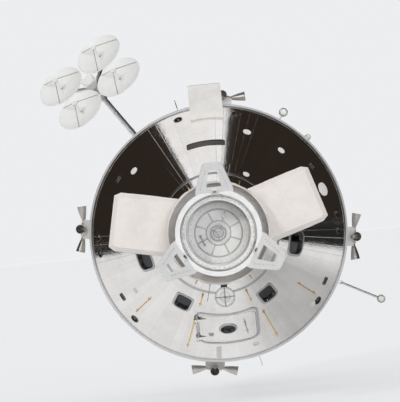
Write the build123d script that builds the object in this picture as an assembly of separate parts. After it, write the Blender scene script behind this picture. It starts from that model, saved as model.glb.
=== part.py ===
from build123d import *
import math
import os

# A three-seat conical command module on a cylindrical service module, with a docking module
# on its nose. The craft is drawn standing on its aft ring: stations run along Z from that ring
# towards the nose, craft Y is the umbilical side and the side hatch looks along -Y. Angles run
# counter-clockwise from craft X, seen from the nose. The finished pieces are laid down at the
# end, so that the nose looks along -Y and the umbilical side is up.

# Clearances, the overlap that joins two forms of one piece, and how far a cutter passes a face
seat_gap = 0.3
panel_seam = 4.0
moving_gap = 6.0
pin_gap = 0.3
fuse = 5.0
overcut = 100.0

# Service module
hull_radius = 1955.0
hull_length = 3940.0
panel_wall = 25.0
rim_height = 60.0
rim_lip = 30.0
bulkhead_wall = 40.0
core_radius = 559.0
engine_bay_radius = 520.0
engine_bay_depth = 720.0
bay_start = 18.0
bay_spans = (50.0, 70.0, 60.0, 50.0, 70.0, 60.0)
aft_bolt_inset = 30.0
aft_bolt_count = 12
aft_bolt_radius = 10.0
recess_depth = 25.0
recess_inset = 110.0
rib_width = 70.0

# Radiators on the service module and its fairing
radiator_skin = 8.0
radiator_centres = {"left": 133.0, "right": 313.0}
radiator_span = 116.0
radiator_station = 420.0
radiator_height = 1120.0
fairing_height = 550.0
fairing_top = hull_length + fairing_height
fairing_wall = 25.0
power_radiator_count = 8
power_radiator_span = 30.0
power_radiator_height = 440.0

# Thruster quads
quad_drop = 1040.0
quad_station = hull_length - quad_drop
quad_turn = -7.25
quad_width = 300.0
quad_length = 760.0
quad_height = 150.0
quad_ramp = 190.0
quad_fillet = 20.0
quad_plate_width = 860.0
quad_plate_length = 1500.0
quad_plate_skin = 10.0
jet_exit_radius = 71.0
jet_waist_radius = 55.0
jet_throat_radius = 16.0
jet_length = 230.0
jet_waist = 126.0
jet_wall = 6.0
jet_root = 40.0
jet_offset = 124.0
jet_lift = 95.0
jet_head = 155.0
jet_cant = 10.0
jet_recess = 12.0
injector_radius = 31.0
injector_length = 26.0

# Service engine
throat_station = 150.0
throat_radius = 152.0
chamber_radius = 230.0
chamber_wall = 22.0
chamber_head_gap = 180.0
chamber_shoulder = 70.0
chamber_neck = 130.0
bell_joint_radius = 372.0
bell_joint_station = -330.0
bell_flange = 40.0
bell_flange_wall = 20.0
bell_exit_radius = 1206.0
bell_exit_station = -2830.0
bell_mid_radius = 930.0
bell_mid_station = -1560.0
bell_wall = 9.0
band_stations = (-760.0, -1280.0, -1820.0, -2360.0)
band_width = 34.0
band_rise = 9.0
lip_width = 26.0
lip_rise = 12.0
gimbal_inner = 330.0
gimbal_outer = 405.0
gimbal_height = 90.0
gimbal_pin = 32.0
gimbal_pin_grip = 30.0
heat_shield_foot = 1180.0
heat_shield_flange = 40.0
heat_shield_mouth = 610.0
heat_shield_depth = 400.0
heat_shield_wall = 12.0

# Command module
cone_half_angle = 33.0
cone_max_radius = hull_radius
corner_radius = 196.0
cone_rise = 130.0
cone_max_station = fairing_top + cone_rise
shield_sphere = 4694.0
shield_wall = 55.0
cone_wall = 60.0
tunnel_radius = 410.0
tunnel_bore = 385.0
crew_deck_width = 472.0
crew_top_radius = tunnel_radius + crew_deck_width
nose_deck_width = 37.0
nose_radius = tunnel_radius + nose_deck_width
tunnel_reach = 250.0
pad_circle = 1500.0
pad_radius = 70.0
pad_count = 6
floor_rise = 260.0
floor_station = cone_max_station + floor_rise
floor_wall = 20.0

cone_slope = math.tan(math.radians(cone_half_angle))
cone_cos = math.cos(math.radians(cone_half_angle))
cone_sin = math.sin(math.radians(cone_half_angle))
corner_centre = cone_max_radius - corner_radius
cone_start = cone_max_station + corner_radius * cone_sin
cone_start_radius = corner_centre + corner_radius * cone_cos
crew_top = cone_start + (cone_start_radius - crew_top_radius) / cone_slope
nose_top = cone_start + (cone_start_radius - nose_radius) / cone_slope
tunnel_top = nose_top + tunnel_reach

# Side hatch and windows
hatch_angle = 270.0
hatch_rise = 860.0
hatch_station = cone_max_station + hatch_rise
hatch_width = 860.0
hatch_slant = 740.0
hatch_corner = 110.0
hatch_window_radius = 118.0
hinge_lift = 32.0
hinge_side = 34.0
hinge_pin = 9.0
hinge_length = 70.0
hinge_spread = 250.0
hinge_wall = 13.0
hinge_ear = 20.0
hinge_ear_gap = 10.0
hinge_arm = 130.0
hinge_strap = 18.0
hinge_strap_drop = 4.0
pane_wall = 16.0
pane_depth = 26.0
# name: angle from the hatch line, drop below the cone's top, width, slant height, corner radius
windows = {
    "rendezvous_left": (-33.0, 415.0, 215.0, 330.0, 60.0),
    "rendezvous_right": (33.0, 415.0, 215.0, 330.0, 60.0),
    "side_left": (-77.0, 425.0, 330.0, 330.0, 90.0),
    "side_right": (77.0, 425.0, 330.0, 330.0, 90.0),
}

# Ports of the crew module's own thrusters: blind cups, at angles from the hatch line
port_radius = 56.0
port_depth = 36.0
port_rise = 175.0
port_angles = (-94.0, -86.0, -50.0, 50.0, 86.0, 94.0, 166.0, 194.0)
nose_port_radius = 40.0
nose_port_drop = 190.0
nose_port_angles = (173.0, 187.0)

# Cabin
couch_pitch = 640.0
couch_width = 540.0
couch_wall = 90.0
couch_lift = 130.0
couch_head = 560.0
couch_neck = 410.0
couch_shoulder = 370.0
couch_headrest = 60.0
couch_hip = 420.0
couch_fold = 510.0
couch_knee = 330.0
couch_shin = 400.0
couch_foot_reach = 880.0
couch_foot_lean = 20.0
couch_leg_radius = 22.0
couch_leg_inset = 50.0
couch_leg_places = (-440.0, 390.0)
panel_drop = 530.0
panel_station = crew_top - panel_drop
panel_low = -150.0
panel_high = 470.0
panel_thick = 110.0
panel_tilt = 20.0

# Umbilical cover
umbilical_angle = 90.0
umbilical_width = 500.0
umbilical_drop = 240.0
umbilical_low = hull_length - umbilical_drop
umbilical_rise = 390.0
umbilical_high = cone_max_station + umbilical_rise
umbilical_lift = 315.0
umbilical_reach = hull_radius + umbilical_lift
umbilical_foot = 20.0
umbilical_ramp = 330.0
umbilical_crest = 60.0
umbilical_nose = 70.0
umbilical_root = 300.0
umbilical_fillet = 60.0

# Docking module
dock_hull_radius = 710.0
dock_wall = 16.0
dock_cone_foot = 30.0
dock_cone_length = 350.0
dock_cone_top = tunnel_top + dock_cone_length
dock_hull_length = 2000.0
dock_hull_top = dock_cone_top + dock_hull_length
dock_flange = 7.0
dock_flange_width = 36.0
dock_bulkhead_wall = 20.0
dock_tunnel_bore = 450.0
dock_tunnel_wall = 18.0
collar_rise = 330.0
interface_station = dock_hull_top + collar_rise
interface_radius = 512.0
interface_height = 46.0
collar_foot = 30.0
collar_foot_wall = 14.0
seal_radius = 503.0
seal_width = 5.0
seal_depth = 4.0
guide_pin_circle = 481.0
guide_pin_radius = 11.0
guide_pin_height = 34.0
guide_socket_depth = 30.0

# Hooks of the collar: outline in height above the interface and distance from the bore
latch_count = 8
latch_width = 70.0
latch_outline = ((-6.0, 12.0), (-6.0, 44.0), (26.0, 44.0), (26.0, 26.0), (13.0, 20.0), (8.0, 12.0))

# Tank covers of the docking module
cover_angles = {"left": 168.0, "right": 17.0}
cover_reach = 1500.0
cover_root_width = 820.0
cover_face_width = 720.0
cover_shoulder = 1410.0
cover_rise = 360.0
cover_low = dock_cone_top + cover_rise
cover_drop = 340.0
cover_high = dock_hull_top - cover_drop
cover_edge = 60.0

# Guide ring and its attenuators
ring_inner = 528.0
ring_outer = 596.0
ring_lift = 110.0
ring_station = interface_station + ring_lift
ring_height = 56.0
ring_bevel = 8.0
ring_travel = 200.0
ring_run_out = 140.0
petal_angles = (90.0, 210.0, 330.0)
petal_flare = 48.0
petal_length = 520.0
petal_root = 520.0
petal_tip = 250.0
petal_wall = 26.0
petal_root_run = 60.0
petal_shoulder = 30.0
petal_corner = 70.0
petal_window_root = 218.0
petal_window_tip = 105.0
petal_window_low = 66.0
petal_window_high = 390.0
petal_window_corner = 20.0
petal_rib = 12.0
petal_rib_height = 24.0
petal_rib_inset = 40.0
catch_width = 84.0
catch_length = 58.0
catch_height = 34.0
catch_place = 22.0
strut_radius = 19.0
strut_sleeve = 29.0
strut_collar = 36.0
strut_collar_width = 26.0
strut_head_drop = 23.0
strut_foot_radius = 31.0
strut_foot_drop = 10.0
strut_foot_station = dock_hull_top - strut_foot_drop
strut_circle = 562.0
strut_spread = 17.0
strut_top_spread = 3.5
foot_pin = 12.0

# Forward hatch of the docking module
dock_hatch_lap = 20.0
dock_hatch_wall = 30.0
dock_hinge_reach = 20.0
dock_hinge_eye = 19.0
dock_hinge_spread = 120.0
dock_hinge_half = 20.0
dock_hinge_ear = 10.0
dock_hinge_ear_gap = 5.0
dock_hinge_ear_width = 36.0
dock_hinge_ear_shift = 2.0
dock_hinge_strap = 24.0
dock_hinge_strap_reach = 80.0
dock_plug_inset = 30.0

# High-gain antenna
boom_angle = 124.75
boom_root_depth = 120.0
boom_root_radius = hull_radius - boom_root_depth
boom_root_station = -95.0
boom_length = 1200.0
boom_radius = 42.0
boom_collar = 58.0
boom_collar_width = 14.0
boom_eye = 58.0
eye_rim = 2.0
boom_pin = 22.0
boom_lug = 24.0
boom_lug_width = 100.0
boom_lug_tail = 46.0
boom_base_width = 170.0
boom_base_wall = 14.0
boom_base_margin = 30.0
boom_spigot = 26.0
boom_spigot_length = 56.0
yoke_reach = 150.0
yoke_gap = 92.0
yoke_arm = 20.0
yoke_arm_width = 90.0
yoke_eye = 45.0
yoke_hub = 72.0
yoke_hub_length = 74.0
yoke_bridge = 28.0
yoke_bridge_width = 100.0
dish_radius = 393.5
dish_depth = 120.0
dish_wall = 8.0
dish_pitch = 410.0
dish_offset = 165.0
dish_tilt = 50.0
dish_axle = 20.0
dish_sleeve = 38.0
dish_post = 50.0
beam_width = 46.0
beam_height = 40.0
boss_radius = 56.0
boss_height = 60.0
feed_radius = 11.0
feed_length = 300.0
feed_cup = 46.0
feed_cup_height = 24.0
horn_width = 236.0
horn_foot = 94.0
horn_depth = 190.0
horn_wall = 8.0

# Floodlight pole, antennas and lights
fitting_drop = 140.0
fitting_station = hull_length - fitting_drop
fitting_sink = 20.0
pole_angle = -27.75
pole_length = 740.0
pole_radius = 16.0
pole_pivot = 82.0
pole_pin = 7.0
pole_eye = 20.0
pole_eye_half = 12.0
pole_ear = 12.0
pole_ear_width = 44.0
pole_ear_top = 100.0
pole_base = (110.0, 90.0, 30.0)
lamp_radius = 58.0
lamp_length = 90.0
lamp_wall = 8.0
lamp_recess = 20.0
scimitar_angles = (102.65, 282.65)
scimitar_height = 190.0
scimitar_half_length = 150.0
scimitar_heel = 20.0
scimitar_wall = 14.0
scimitar_base = (90.0, 340.0, 30.0)
beacon_angle = 41.25
beacon_radius = 48.0
beacon_rim = 14.0
beacon_base = 14.0
beacon_height = 50.0
spotlight_angle = 56.0
spotlight_reach = 150.0
spotlight_radius = 62.0
spotlight_back = 50.0
spotlight_front = 60.0
spotlight_base = (120.0, 110.0, 34.0)
spotlight_post = (30.0, 40.0)
target_angle = 270.0
target_drop = 120.0
target_station = dock_hull_top - target_drop
target_reach = 930.0
target_radius = 140.0
target_wall = 10.0
target_arm = (90.0, 60.0)
target_face_inset = 40.0
target_stand_off = 150.0
target_post = 9.0
target_bar = (170.0, 18.0, 8.0)

UPRIGHT = (Align.CENTER, Align.CENTER, Align.MIN)
HANGING = (Align.CENTER, Align.CENTER, Align.MAX)
nodes = {}


def cone_radius(station, depth=0.0):
    """Radius of the cone at a station, at a depth below its outer face."""
    return cone_start_radius - (station - cone_start) * cone_slope - depth / cone_cos


def turned(*edges):
    """A solid of revolution about the long axis, from a closed profile in radius and station."""
    return revolve(Plane.XZ * make_face(Wire(edges)), axis=Axis.Z)


def lathe(*points):
    """A solid of revolution from straight runs between radius and station points."""
    return revolve(Plane.XZ * make_face(Polyline(*points, close=True)), axis=Axis.Z)


def tube(outer, inner, low, high):
    return lathe((inner, low), (outer, low), (outer, high), (inner, high))


def rod(radius, start, end):
    """A round bar between two points."""
    start, end = Vector(start), Vector(end)
    axis = end - start
    return Plane(origin=start, z_dir=axis) * Cylinder(radius, axis.length, align=UPRIGHT)


def wedge(start, span, reach, low, high):
    """A sector of a cylinder, from an angle over a span, between two stations."""
    sector = make_face(
        Wire([
            Line((0, 0), (reach, 0)),
            CenterArc((0, 0), reach, 0, span),
            Line((reach * math.cos(math.radians(span)), reach * math.sin(math.radians(span))), (0, 0)),
        ])
    )
    return Pos(0, 0, low) * Rot(0, 0, start) * extrude(sector, high - low)


def seat(angle, radius, station):
    """Plane on the hull: X runs round the craft, Y towards the nose and Z outwards."""
    a = math.radians(angle)
    return Plane(
        origin=(radius * math.cos(a), radius * math.sin(a), station),
        x_dir=(-math.sin(a), math.cos(a), 0),
        z_dir=(math.cos(a), math.sin(a), 0),
    )


def cone_seat(angle, station):
    """Plane on the cone's outer face: X runs round, Y up the slant and Z straight out."""
    a = math.radians(angle)
    radius = cone_radius(station)
    return Plane(
        origin=(radius * math.cos(a), radius * math.sin(a), station),
        x_dir=(-math.sin(a), math.cos(a), 0),
        z_dir=(cone_cos * math.cos(a), cone_cos * math.sin(a), cone_sin),
    )


def cone_skin(low, high, outer_depth, inner_depth):
    """A layer of the cone's wall between two stations and two depths."""
    return lathe(
        (cone_radius(low, inner_depth), low),
        (cone_radius(low, outer_depth), low),
        (cone_radius(high, outer_depth), high),
        (cone_radius(high, inner_depth), high),
    )


# Service module core: two bulkheads on the centre tube, with the bay of the engine
core = lathe(
    (engine_bay_radius, 0),
    (hull_radius, 0),
    (hull_radius, rim_height),
    (hull_radius - panel_wall - rim_lip, rim_height),
    (hull_radius - panel_wall - rim_lip, bulkhead_wall),
    (core_radius, bulkhead_wall),
    (core_radius, hull_length - bulkhead_wall),
    (hull_radius, hull_length - bulkhead_wall),
    (hull_radius, hull_length),
    (0, hull_length),
    (0, engine_bay_depth),
    (engine_bay_radius, engine_bay_depth),
)
aft_bolts = PolarLocations(hull_radius - aft_bolt_inset, aft_bolt_count)
core -= aft_bolts * Cylinder(aft_bolt_radius, rim_height, align=UPRIGHT)

# Six shallow bays in the aft bulkhead leave radial ribs under the seams of the panels
recess_low = heat_shield_foot + heat_shield_flange + rib_width
recess_ring = tube(hull_radius - recess_inset, recess_low, 0, recess_depth)
rib_angle = math.degrees(rib_width / recess_low)
angle = bay_start
for span in bay_spans:
    core -= recess_ring & wedge(angle + rib_angle / 2, span - rib_angle, hull_radius, 0, recess_depth)
    angle += span

# Pads that carry the command module, cut to the curve of its shield
shield_centre = cone_max_station + math.sqrt(
    (shield_sphere - corner_radius) ** 2 - corner_centre**2
)
shield_ball = Pos(0, 0, shield_centre) * Sphere(shield_sphere + seat_gap)
for place in PolarLocations(pad_circle, pad_count):
    pad = Cylinder(pad_radius, cone_max_station - hull_length, align=UPRIGHT)
    core += (Pos(0, 0, hull_length) * place * pad) - shield_ball

# Pins that carry the engine's gimbal ring
for side in (-1, 1):
    core += rod(
        gimbal_pin,
        (side * (gimbal_outer - gimbal_pin_grip), 0, throat_station),
        (side * (engine_bay_radius + fuse), 0, throat_station),
    )
nodes["service_module_core"] = core

# Curved panels of the six bays
angle = bay_start
panel_ring = tube(
    hull_radius,
    hull_radius - panel_wall,
    rim_height,
    hull_length - bulkhead_wall,
)
seam_angle = math.degrees(panel_seam / hull_radius)
for number, span in enumerate(bay_spans, 1):
    sector = wedge(
        angle + seam_angle / 2,
        span - seam_angle,
        hull_radius + overcut,
        rim_height,
        hull_length - bulkhead_wall,
    )
    nodes[f"bay_{number}_panel"] = panel_ring & sector
    angle += span

# Cabin radiators: two curved skins low on the hull
for side, centre in radiator_centres.items():
    skin = tube(
        hull_radius + seat_gap + radiator_skin,
        hull_radius + seat_gap,
        radiator_station,
        radiator_station + radiator_height,
    )
    sector = wedge(
        centre - radiator_span / 2,
        radiator_span,
        hull_radius + overcut,
        radiator_station,
        radiator_station + radiator_height,
    )
    nodes[f"cabin_radiator_{side}"] = skin & sector

# Fairing between the two modules, and its eight power radiators
nodes["module_fairing"] = tube(
    hull_radius, hull_radius - fairing_wall, hull_length, fairing_top
)
power_skin = tube(
    hull_radius + seat_gap + radiator_skin,
    hull_radius + seat_gap,
    (hull_length + fairing_top - power_radiator_height) / 2,
    (hull_length + fairing_top + power_radiator_height) / 2,
)
power_panels = []
for number in range(power_radiator_count):
    middle = (number + 0.5) * 360 / power_radiator_count
    power_panels.append(
        power_skin
        & wedge(
            middle - power_radiator_span / 2,
            power_radiator_span,
            hull_radius + overcut,
            hull_length,
            fairing_top,
        )
    )


# Thruster quads: a ramped housing on a curved door, with four small bells
def jet_place(turn):
    """Place of one bell on the housing, its exit along Z, leaned out by the cant."""
    return Rot(0, 0, turn) * Pos(0, jet_offset, jet_head) * Rot(jet_cant - 90, 0, 0)


def jet():
    """One small bell standing on the origin."""
    return turned(
        Line((jet_throat_radius, 0), (jet_throat_radius + jet_wall, 0)),
        ThreePointArc(
            (jet_throat_radius + jet_wall, 0),
            (jet_waist_radius, jet_waist),
            (jet_exit_radius, jet_length),
        ),
        Line((jet_exit_radius, jet_length), (jet_exit_radius - jet_wall, jet_length)),
        ThreePointArc(
            (jet_exit_radius - jet_wall, jet_length),
            (jet_waist_radius - jet_wall, jet_waist),
            (jet_throat_radius, 0),
        ),
    )


def quad_housing():
    """The housing on a flat plane, Y towards the nose and Z outwards, with its four injectors."""
    side = make_face(
        Polyline(
            (-quad_length / 2, 0),
            (quad_length / 2, 0),
            (quad_length / 2 - quad_ramp, quad_height),
            (-quad_length / 2 + quad_ramp, quad_height),
            close=True,
        )
    )
    body = extrude(Plane.YZ * side, quad_width / 2, both=True)
    body = fillet(body.edges().filter_by(Axis.X), quad_fillet)
    for turn in range(0, 360, 90):
        injector = Pos(0, 0, -seat_gap) * Cylinder(injector_radius, injector_length, align=HANGING)
        body += jet_place(turn) * injector
        stem_end = (0, jet_offset - injector_length / 2, jet_head)
        body += Rot(0, 0, turn) * rod(jet_throat_radius + jet_wall, (0, jet_root, jet_lift), stem_end)
    for turn in range(0, 360, 90):
        recess = Cone(
            injector_radius + jet_recess, jet_exit_radius + jet_recess, jet_length + jet_recess, align=UPRIGHT
        )
        body -= jet_place(turn) * Pos(0, 0, -seat_gap) * recess
    return body


quad_sink = hull_radius - math.sqrt(hull_radius**2 - (quad_width / 2) ** 2)
quad_bells = []
for number in range(4):
    quad_angle = 90.0 * number + quad_turn
    quad_seat = seat(quad_angle, hull_radius - quad_sink, quad_station)
    housing = quad_seat * quad_housing()
    door_ring = tube(
        hull_radius + seat_gap + quad_plate_skin,
        hull_radius + seat_gap,
        quad_station - quad_plate_length / 2,
        quad_station + quad_plate_length / 2,
    )
    door_angle = math.degrees(quad_plate_width / hull_radius)
    door = door_ring & wedge(
        quad_angle - door_angle / 2, door_angle, hull_radius + overcut, 0, hull_length
    )
    housing -= Cylinder(hull_radius + seat_gap, hull_length, align=UPRIGHT)
    nodes[f"thruster_quad_{number + 1}"] = door + housing
    quad_bells += [quad_seat * jet_place(turn) * jet() for turn in range(0, 360, 90)]
nodes["thruster_bells"] = quad_bells

# Engine heat shield on the aft bulkhead
nodes["engine_heat_shield"] = lathe(
    (heat_shield_foot, -seat_gap),
    (heat_shield_foot + heat_shield_flange, -seat_gap),
    (heat_shield_foot + heat_shield_flange, -seat_gap - heat_shield_wall),
    (heat_shield_foot + heat_shield_wall, -seat_gap - heat_shield_wall),
    (heat_shield_mouth + heat_shield_wall, -heat_shield_depth),
    (heat_shield_mouth, -heat_shield_depth),
)

# Gimbal ring of the engine, with bores for two pairs of pins
gimbal = tube(
    gimbal_outer, gimbal_inner, throat_station - gimbal_height / 2, throat_station + gimbal_height / 2
)
bore = gimbal_pin + pin_gap
reach = gimbal_outer + fuse
gimbal -= rod(bore, (-reach, 0, throat_station), (reach, 0, throat_station))
gimbal -= rod(bore, (0, -reach, throat_station), (0, reach, throat_station))
nodes["engine_gimbal_ring"] = gimbal


# Combustion chamber down to the joint with the bell
def nozzle_radius(station, wall=0.0):
    """Radius of the nozzle's straight run from the throat to the joint."""
    slope = (bell_joint_radius - throat_radius) / (throat_station - bell_joint_station)
    return throat_radius + (throat_station - station) * slope + wall


chamber_top = engine_bay_depth - chamber_head_gap
neck_top = throat_station + chamber_neck
neck_low = throat_station - chamber_neck
flange_top = bell_joint_station + bell_flange_wall
flange_radius = bell_joint_radius + bell_flange
chamber = turned(
    Line((0, chamber_top), (chamber_radius - chamber_shoulder, chamber_top)),
    Line(
        (chamber_radius - chamber_shoulder, chamber_top),
        (chamber_radius, chamber_top - chamber_shoulder),
    ),
    Line((chamber_radius, chamber_top - chamber_shoulder), (chamber_radius, neck_top)),
    ThreePointArc(
        (chamber_radius, neck_top),
        (throat_radius + 1.2 * chamber_wall, throat_station),
        (nozzle_radius(neck_low, chamber_wall), neck_low),
    ),
    Line(
        (nozzle_radius(neck_low, chamber_wall), neck_low),
        (nozzle_radius(flange_top, chamber_wall), flange_top),
    ),
    Line((nozzle_radius(flange_top, chamber_wall), flange_top), (flange_radius, flange_top)),
    Line((flange_radius, flange_top), (flange_radius, bell_joint_station)),
    Line((flange_radius, bell_joint_station), (bell_joint_radius, bell_joint_station)),
    Line((bell_joint_radius, bell_joint_station), (throat_radius, throat_station)),
    Line((throat_radius, throat_station), (0, throat_station)),
    Line((0, throat_station), (0, chamber_top)),
)
for side in (-1, 1):
    chamber += rod(
        gimbal_pin,
        (0, side * (throat_radius + chamber_wall / 2), throat_station),
        (0, side * (gimbal_outer - moving_gap), throat_station),
    )
nodes["engine_chamber"] = chamber

# Bell: one arc from its joint through its middle to its exit, with bands round it
bell_joint = bell_joint_station - seat_gap
bell_arc = ThreePointArc(
    (bell_joint_radius, bell_joint),
    (bell_mid_radius, bell_mid_station),
    (bell_exit_radius, bell_exit_station),
)
bell_centre = bell_arc.arc_center


def bell_radius(station, wall=0.0):
    """Radius of the bell at a station, outside its inner face by a wall."""
    reach = bell_arc.radius + wall
    return bell_centre.X + math.sqrt(reach**2 - (station - bell_centre.Y) ** 2)


def bell_run(low, high, wall):
    """The bell's arc between two stations, at a distance outside its inner face."""
    middle = (low + high) / 2
    return ThreePointArc(
        (bell_radius(low, wall), low), (bell_radius(middle, wall), middle), (bell_radius(high, wall), high)
    )


flange_low = bell_joint - bell_flange_wall
bell_lip_radius = bell_radius(bell_exit_station, bell_wall)
bell = turned(
    Line((bell_joint_radius, bell_joint), (flange_radius, bell_joint)),
    Line((flange_radius, bell_joint), (flange_radius, flange_low)),
    Line((flange_radius, flange_low), (bell_radius(flange_low, bell_wall), flange_low)),
    bell_run(flange_low, bell_exit_station, bell_wall),
    Line((bell_lip_radius, bell_exit_station), (bell_exit_radius, bell_exit_station)),
    bell_run(bell_exit_station, bell_joint, 0),
)
bands = [(station, band_width, band_rise) for station in band_stations]
for high, width, rise in bands + [(bell_exit_station + lip_width, lip_width, lip_rise)]:
    low = high - width
    bell += lathe(
        (bell_radius(low, bell_wall / 2), low),
        (bell_radius(low, bell_wall + rise), low),
        (bell_radius(high, bell_wall + rise), high),
        (bell_radius(high, bell_wall / 2), high),
    )
nodes["engine_bell"] = bell

# Aft heat shield of the command module: a shallow dish with a rolled corner
tangent = shield_sphere / (shield_sphere - corner_radius)
tangent_radius = corner_centre * tangent
tangent_station = shield_centre - (shield_centre - cone_max_station) * tangent
half_way = math.asin(tangent_radius / shield_sphere) / 2
inner_sphere = shield_sphere - shield_wall
inner_corner = corner_radius - shield_wall
corner_turn = math.radians(cone_half_angle)
corner_low = math.atan2(cone_max_station - tangent_station, tangent_radius - corner_centre)
corner_mid = (corner_turn - corner_low) / 2


def on_corner(radius, turn):
    """A point on the rolled corner, at an angle above its widest plane."""
    return (
        corner_centre + radius * math.cos(turn),
        cone_max_station + radius * math.sin(turn),
    )


def on_sphere(radius, share):
    """A point on the dish, at a share of the way out to the rolled corner."""
    turn = 2 * half_way * share
    return (radius * math.sin(turn), shield_centre - radius * math.cos(turn))


aft_shield = turned(
    ThreePointArc(on_sphere(shield_sphere, 0), on_sphere(shield_sphere, 0.5), on_sphere(shield_sphere, 1)),
    ThreePointArc(
        on_sphere(shield_sphere, 1),
        on_corner(corner_radius, corner_mid),
        on_corner(corner_radius, corner_turn),
    ),
    Line(on_corner(corner_radius, corner_turn), on_corner(inner_corner, corner_turn)),
    ThreePointArc(
        on_corner(inner_corner, corner_turn),
        on_corner(inner_corner, corner_mid),
        on_sphere(inner_sphere, 1),
    ),
    ThreePointArc(on_sphere(inner_sphere, 1), on_sphere(inner_sphere, 0.5), on_sphere(inner_sphere, 0)),
    Line(on_sphere(inner_sphere, 0), on_sphere(shield_sphere, 0)),
)
nodes["aft_heat_shield"] = aft_shield

# Crew cone: the pressure cabin's wall, closed forward by a ring round the tunnel
crew_cone = lathe(
    on_corner(corner_radius - cone_wall, corner_turn),
    on_corner(corner_radius, corner_turn),
    (cone_radius(crew_top), crew_top),
    (tunnel_radius + seat_gap, crew_top),
    (tunnel_radius + seat_gap, crew_top - cone_wall),
    (cone_radius(crew_top - cone_wall, cone_wall), crew_top - cone_wall),
)


def slot_through(plane, width, height, corner, depth):
    """A rounded window or hatch prism, from outside the wall to a depth."""
    outline = RectangleRounded(width, height, corner)
    return extrude(plane * Pos(0, 0, -depth) * outline, depth + overcut)


panes = []
glass = cone_skin(cone_start, crew_top, pane_depth, pane_depth + pane_wall)
for offset, drop, width, height, corner in windows.values():
    plane = cone_seat(hatch_angle + offset, crew_top - drop)
    crew_cone -= slot_through(plane, width, height, corner, 3 * cone_wall)
    inset = 2 * seat_gap
    panes.append(
        glass & slot_through(plane, width - inset, height - inset, corner - seat_gap, 3 * cone_wall)
    )

# Side hatch, cut from the same wall, hung on two pins along its left edge
hatch_plane = cone_seat(hatch_angle, hatch_station)
hatch_hole = slot_through(hatch_plane, hatch_width, hatch_slant, hatch_corner, 4 * cone_wall)
crew_cone -= hatch_hole
hatch = cone_skin(cone_start, crew_top, 0, cone_wall) & slot_through(
    hatch_plane,
    hatch_width - 2 * moving_gap,
    hatch_slant - 2 * moving_gap,
    hatch_corner - moving_gap,
    4 * cone_wall,
)
hatch -= hatch_plane * Cylinder(hatch_window_radius, 4 * cone_wall)
hatch_pane = glass & (hatch_plane * Cylinder(hatch_window_radius - seat_gap, 4 * cone_wall))

# The hatch hangs on two pins along its left edge, lifted off the cone
def cone_drop(offset):
    """How far the cone falls away at a distance round from the middle of the hatch."""
    turn = math.asin(offset / cone_radius(hatch_station))
    return cone_radius(hatch_station) * cone_cos * (1 - math.cos(turn))


hinge_x = -hatch_width / 2 - hinge_side
hinge_z = hinge_lift - cone_drop(-hinge_x)
eye_radius = hinge_pin + pin_gap + hinge_wall
under_cone = cone_skin(cone_start, crew_top, cone_wall / 2, 4 * cone_wall)
for place in (-hinge_spread, hinge_spread):
    low = place - hinge_length / 2
    high = place + hinge_length / 2
    ear_run = hinge_ear_gap + hinge_ear
    bracket = rod(hinge_pin, (hinge_x, low - ear_run, hinge_z), (hinge_x, high + ear_run, hinge_z))
    for middle in (low - ear_run + hinge_ear / 2, high + ear_run - hinge_ear / 2):
        ear_height = hinge_lift + hinge_pin + hinge_wall + cone_wall
        ear = Box(2 * eye_radius, hinge_ear, ear_height, align=HANGING)
        bracket += Pos(hinge_x, middle, hinge_z + hinge_pin + hinge_wall) * ear
    crew_cone += (hatch_plane * bracket) - under_cone
    eye = rod(eye_radius, (hinge_x, low, hinge_z), (hinge_x, high, hinge_z))
    strap = Box(
        hinge_side + hinge_arm, hinge_length, hinge_strap, align=(Align.MIN, Align.CENTER, Align.CENTER)
    )
    eye += Pos(hinge_x, place, hinge_z - hinge_strap_drop) * strap
    eye -= rod(hinge_pin + pin_gap, (hinge_x, low - fuse, hinge_z), (hinge_x, high + fuse, hinge_z))
    hatch += hatch_plane * eye

# Cups of the crew module's own thrusters, low round the cone
for offset in port_angles:
    port = Cylinder(port_radius, port_depth + overcut, align=UPRIGHT)
    crew_cone -= cone_seat(hatch_angle + offset, cone_start + port_rise) * Pos(0, 0, -port_depth) * port
nodes["crew_cone"] = crew_cone
nodes["side_hatch"] = hatch
nodes["hatch_pane"] = hatch_pane

# Cabin: floor, three couches and the instrument panel, all inside the cone's inner face
cabin_room = lathe(
    (0, floor_station),
    (cone_radius(floor_station, cone_wall + seat_gap), floor_station),
    (cone_radius(crew_top - cone_wall, cone_wall + seat_gap), crew_top - cone_wall - seat_gap),
    (0, crew_top - cone_wall - seat_gap),
)
nodes["cabin_floor"] = cabin_room & Pos(0, 0, floor_station) * Cylinder(
    hull_radius, floor_wall, align=UPRIGHT
)
couch_foot = floor_station + floor_wall + seat_gap
couch_outline = Polyline(
    (-couch_head, 0),
    (couch_fold, 0),
    (couch_fold, couch_knee),
    (couch_foot_reach, couch_shin),
    (couch_foot_reach - couch_foot_lean, couch_shin + couch_wall),
    (couch_hip, couch_shin),
    (couch_hip, couch_wall),
    (-couch_shoulder, couch_wall),
    (-couch_neck, couch_wall + couch_headrest),
    (-couch_head, couch_wall + couch_headrest),
    close=True,
)
couches = []
for place in (-1, 0, 1):
    couch = extrude(Plane.YZ * make_face(couch_outline), couch_width / 2, both=True)
    couch = Pos(0, 0, couch_lift) * couch
    for side in (-1, 1):
        for y in couch_leg_places:
            leg = Cylinder(couch_leg_radius, couch_lift + fuse, align=UPRIGHT)
            couch += Pos(side * (couch_width / 2 - couch_leg_inset), y, 0) * leg
    couches.append((Pos(place * couch_pitch, 0, couch_foot) * couch) & cabin_room)
nodes["crew_couches"] = couches
console = Box(2 * hull_radius, panel_high - panel_low, panel_thick)
console = Pos(0, (panel_high + panel_low) / 2, panel_station) * Rot(panel_tilt, 0, 0) * console
nodes["instrument_panel"] = cabin_room & console

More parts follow.
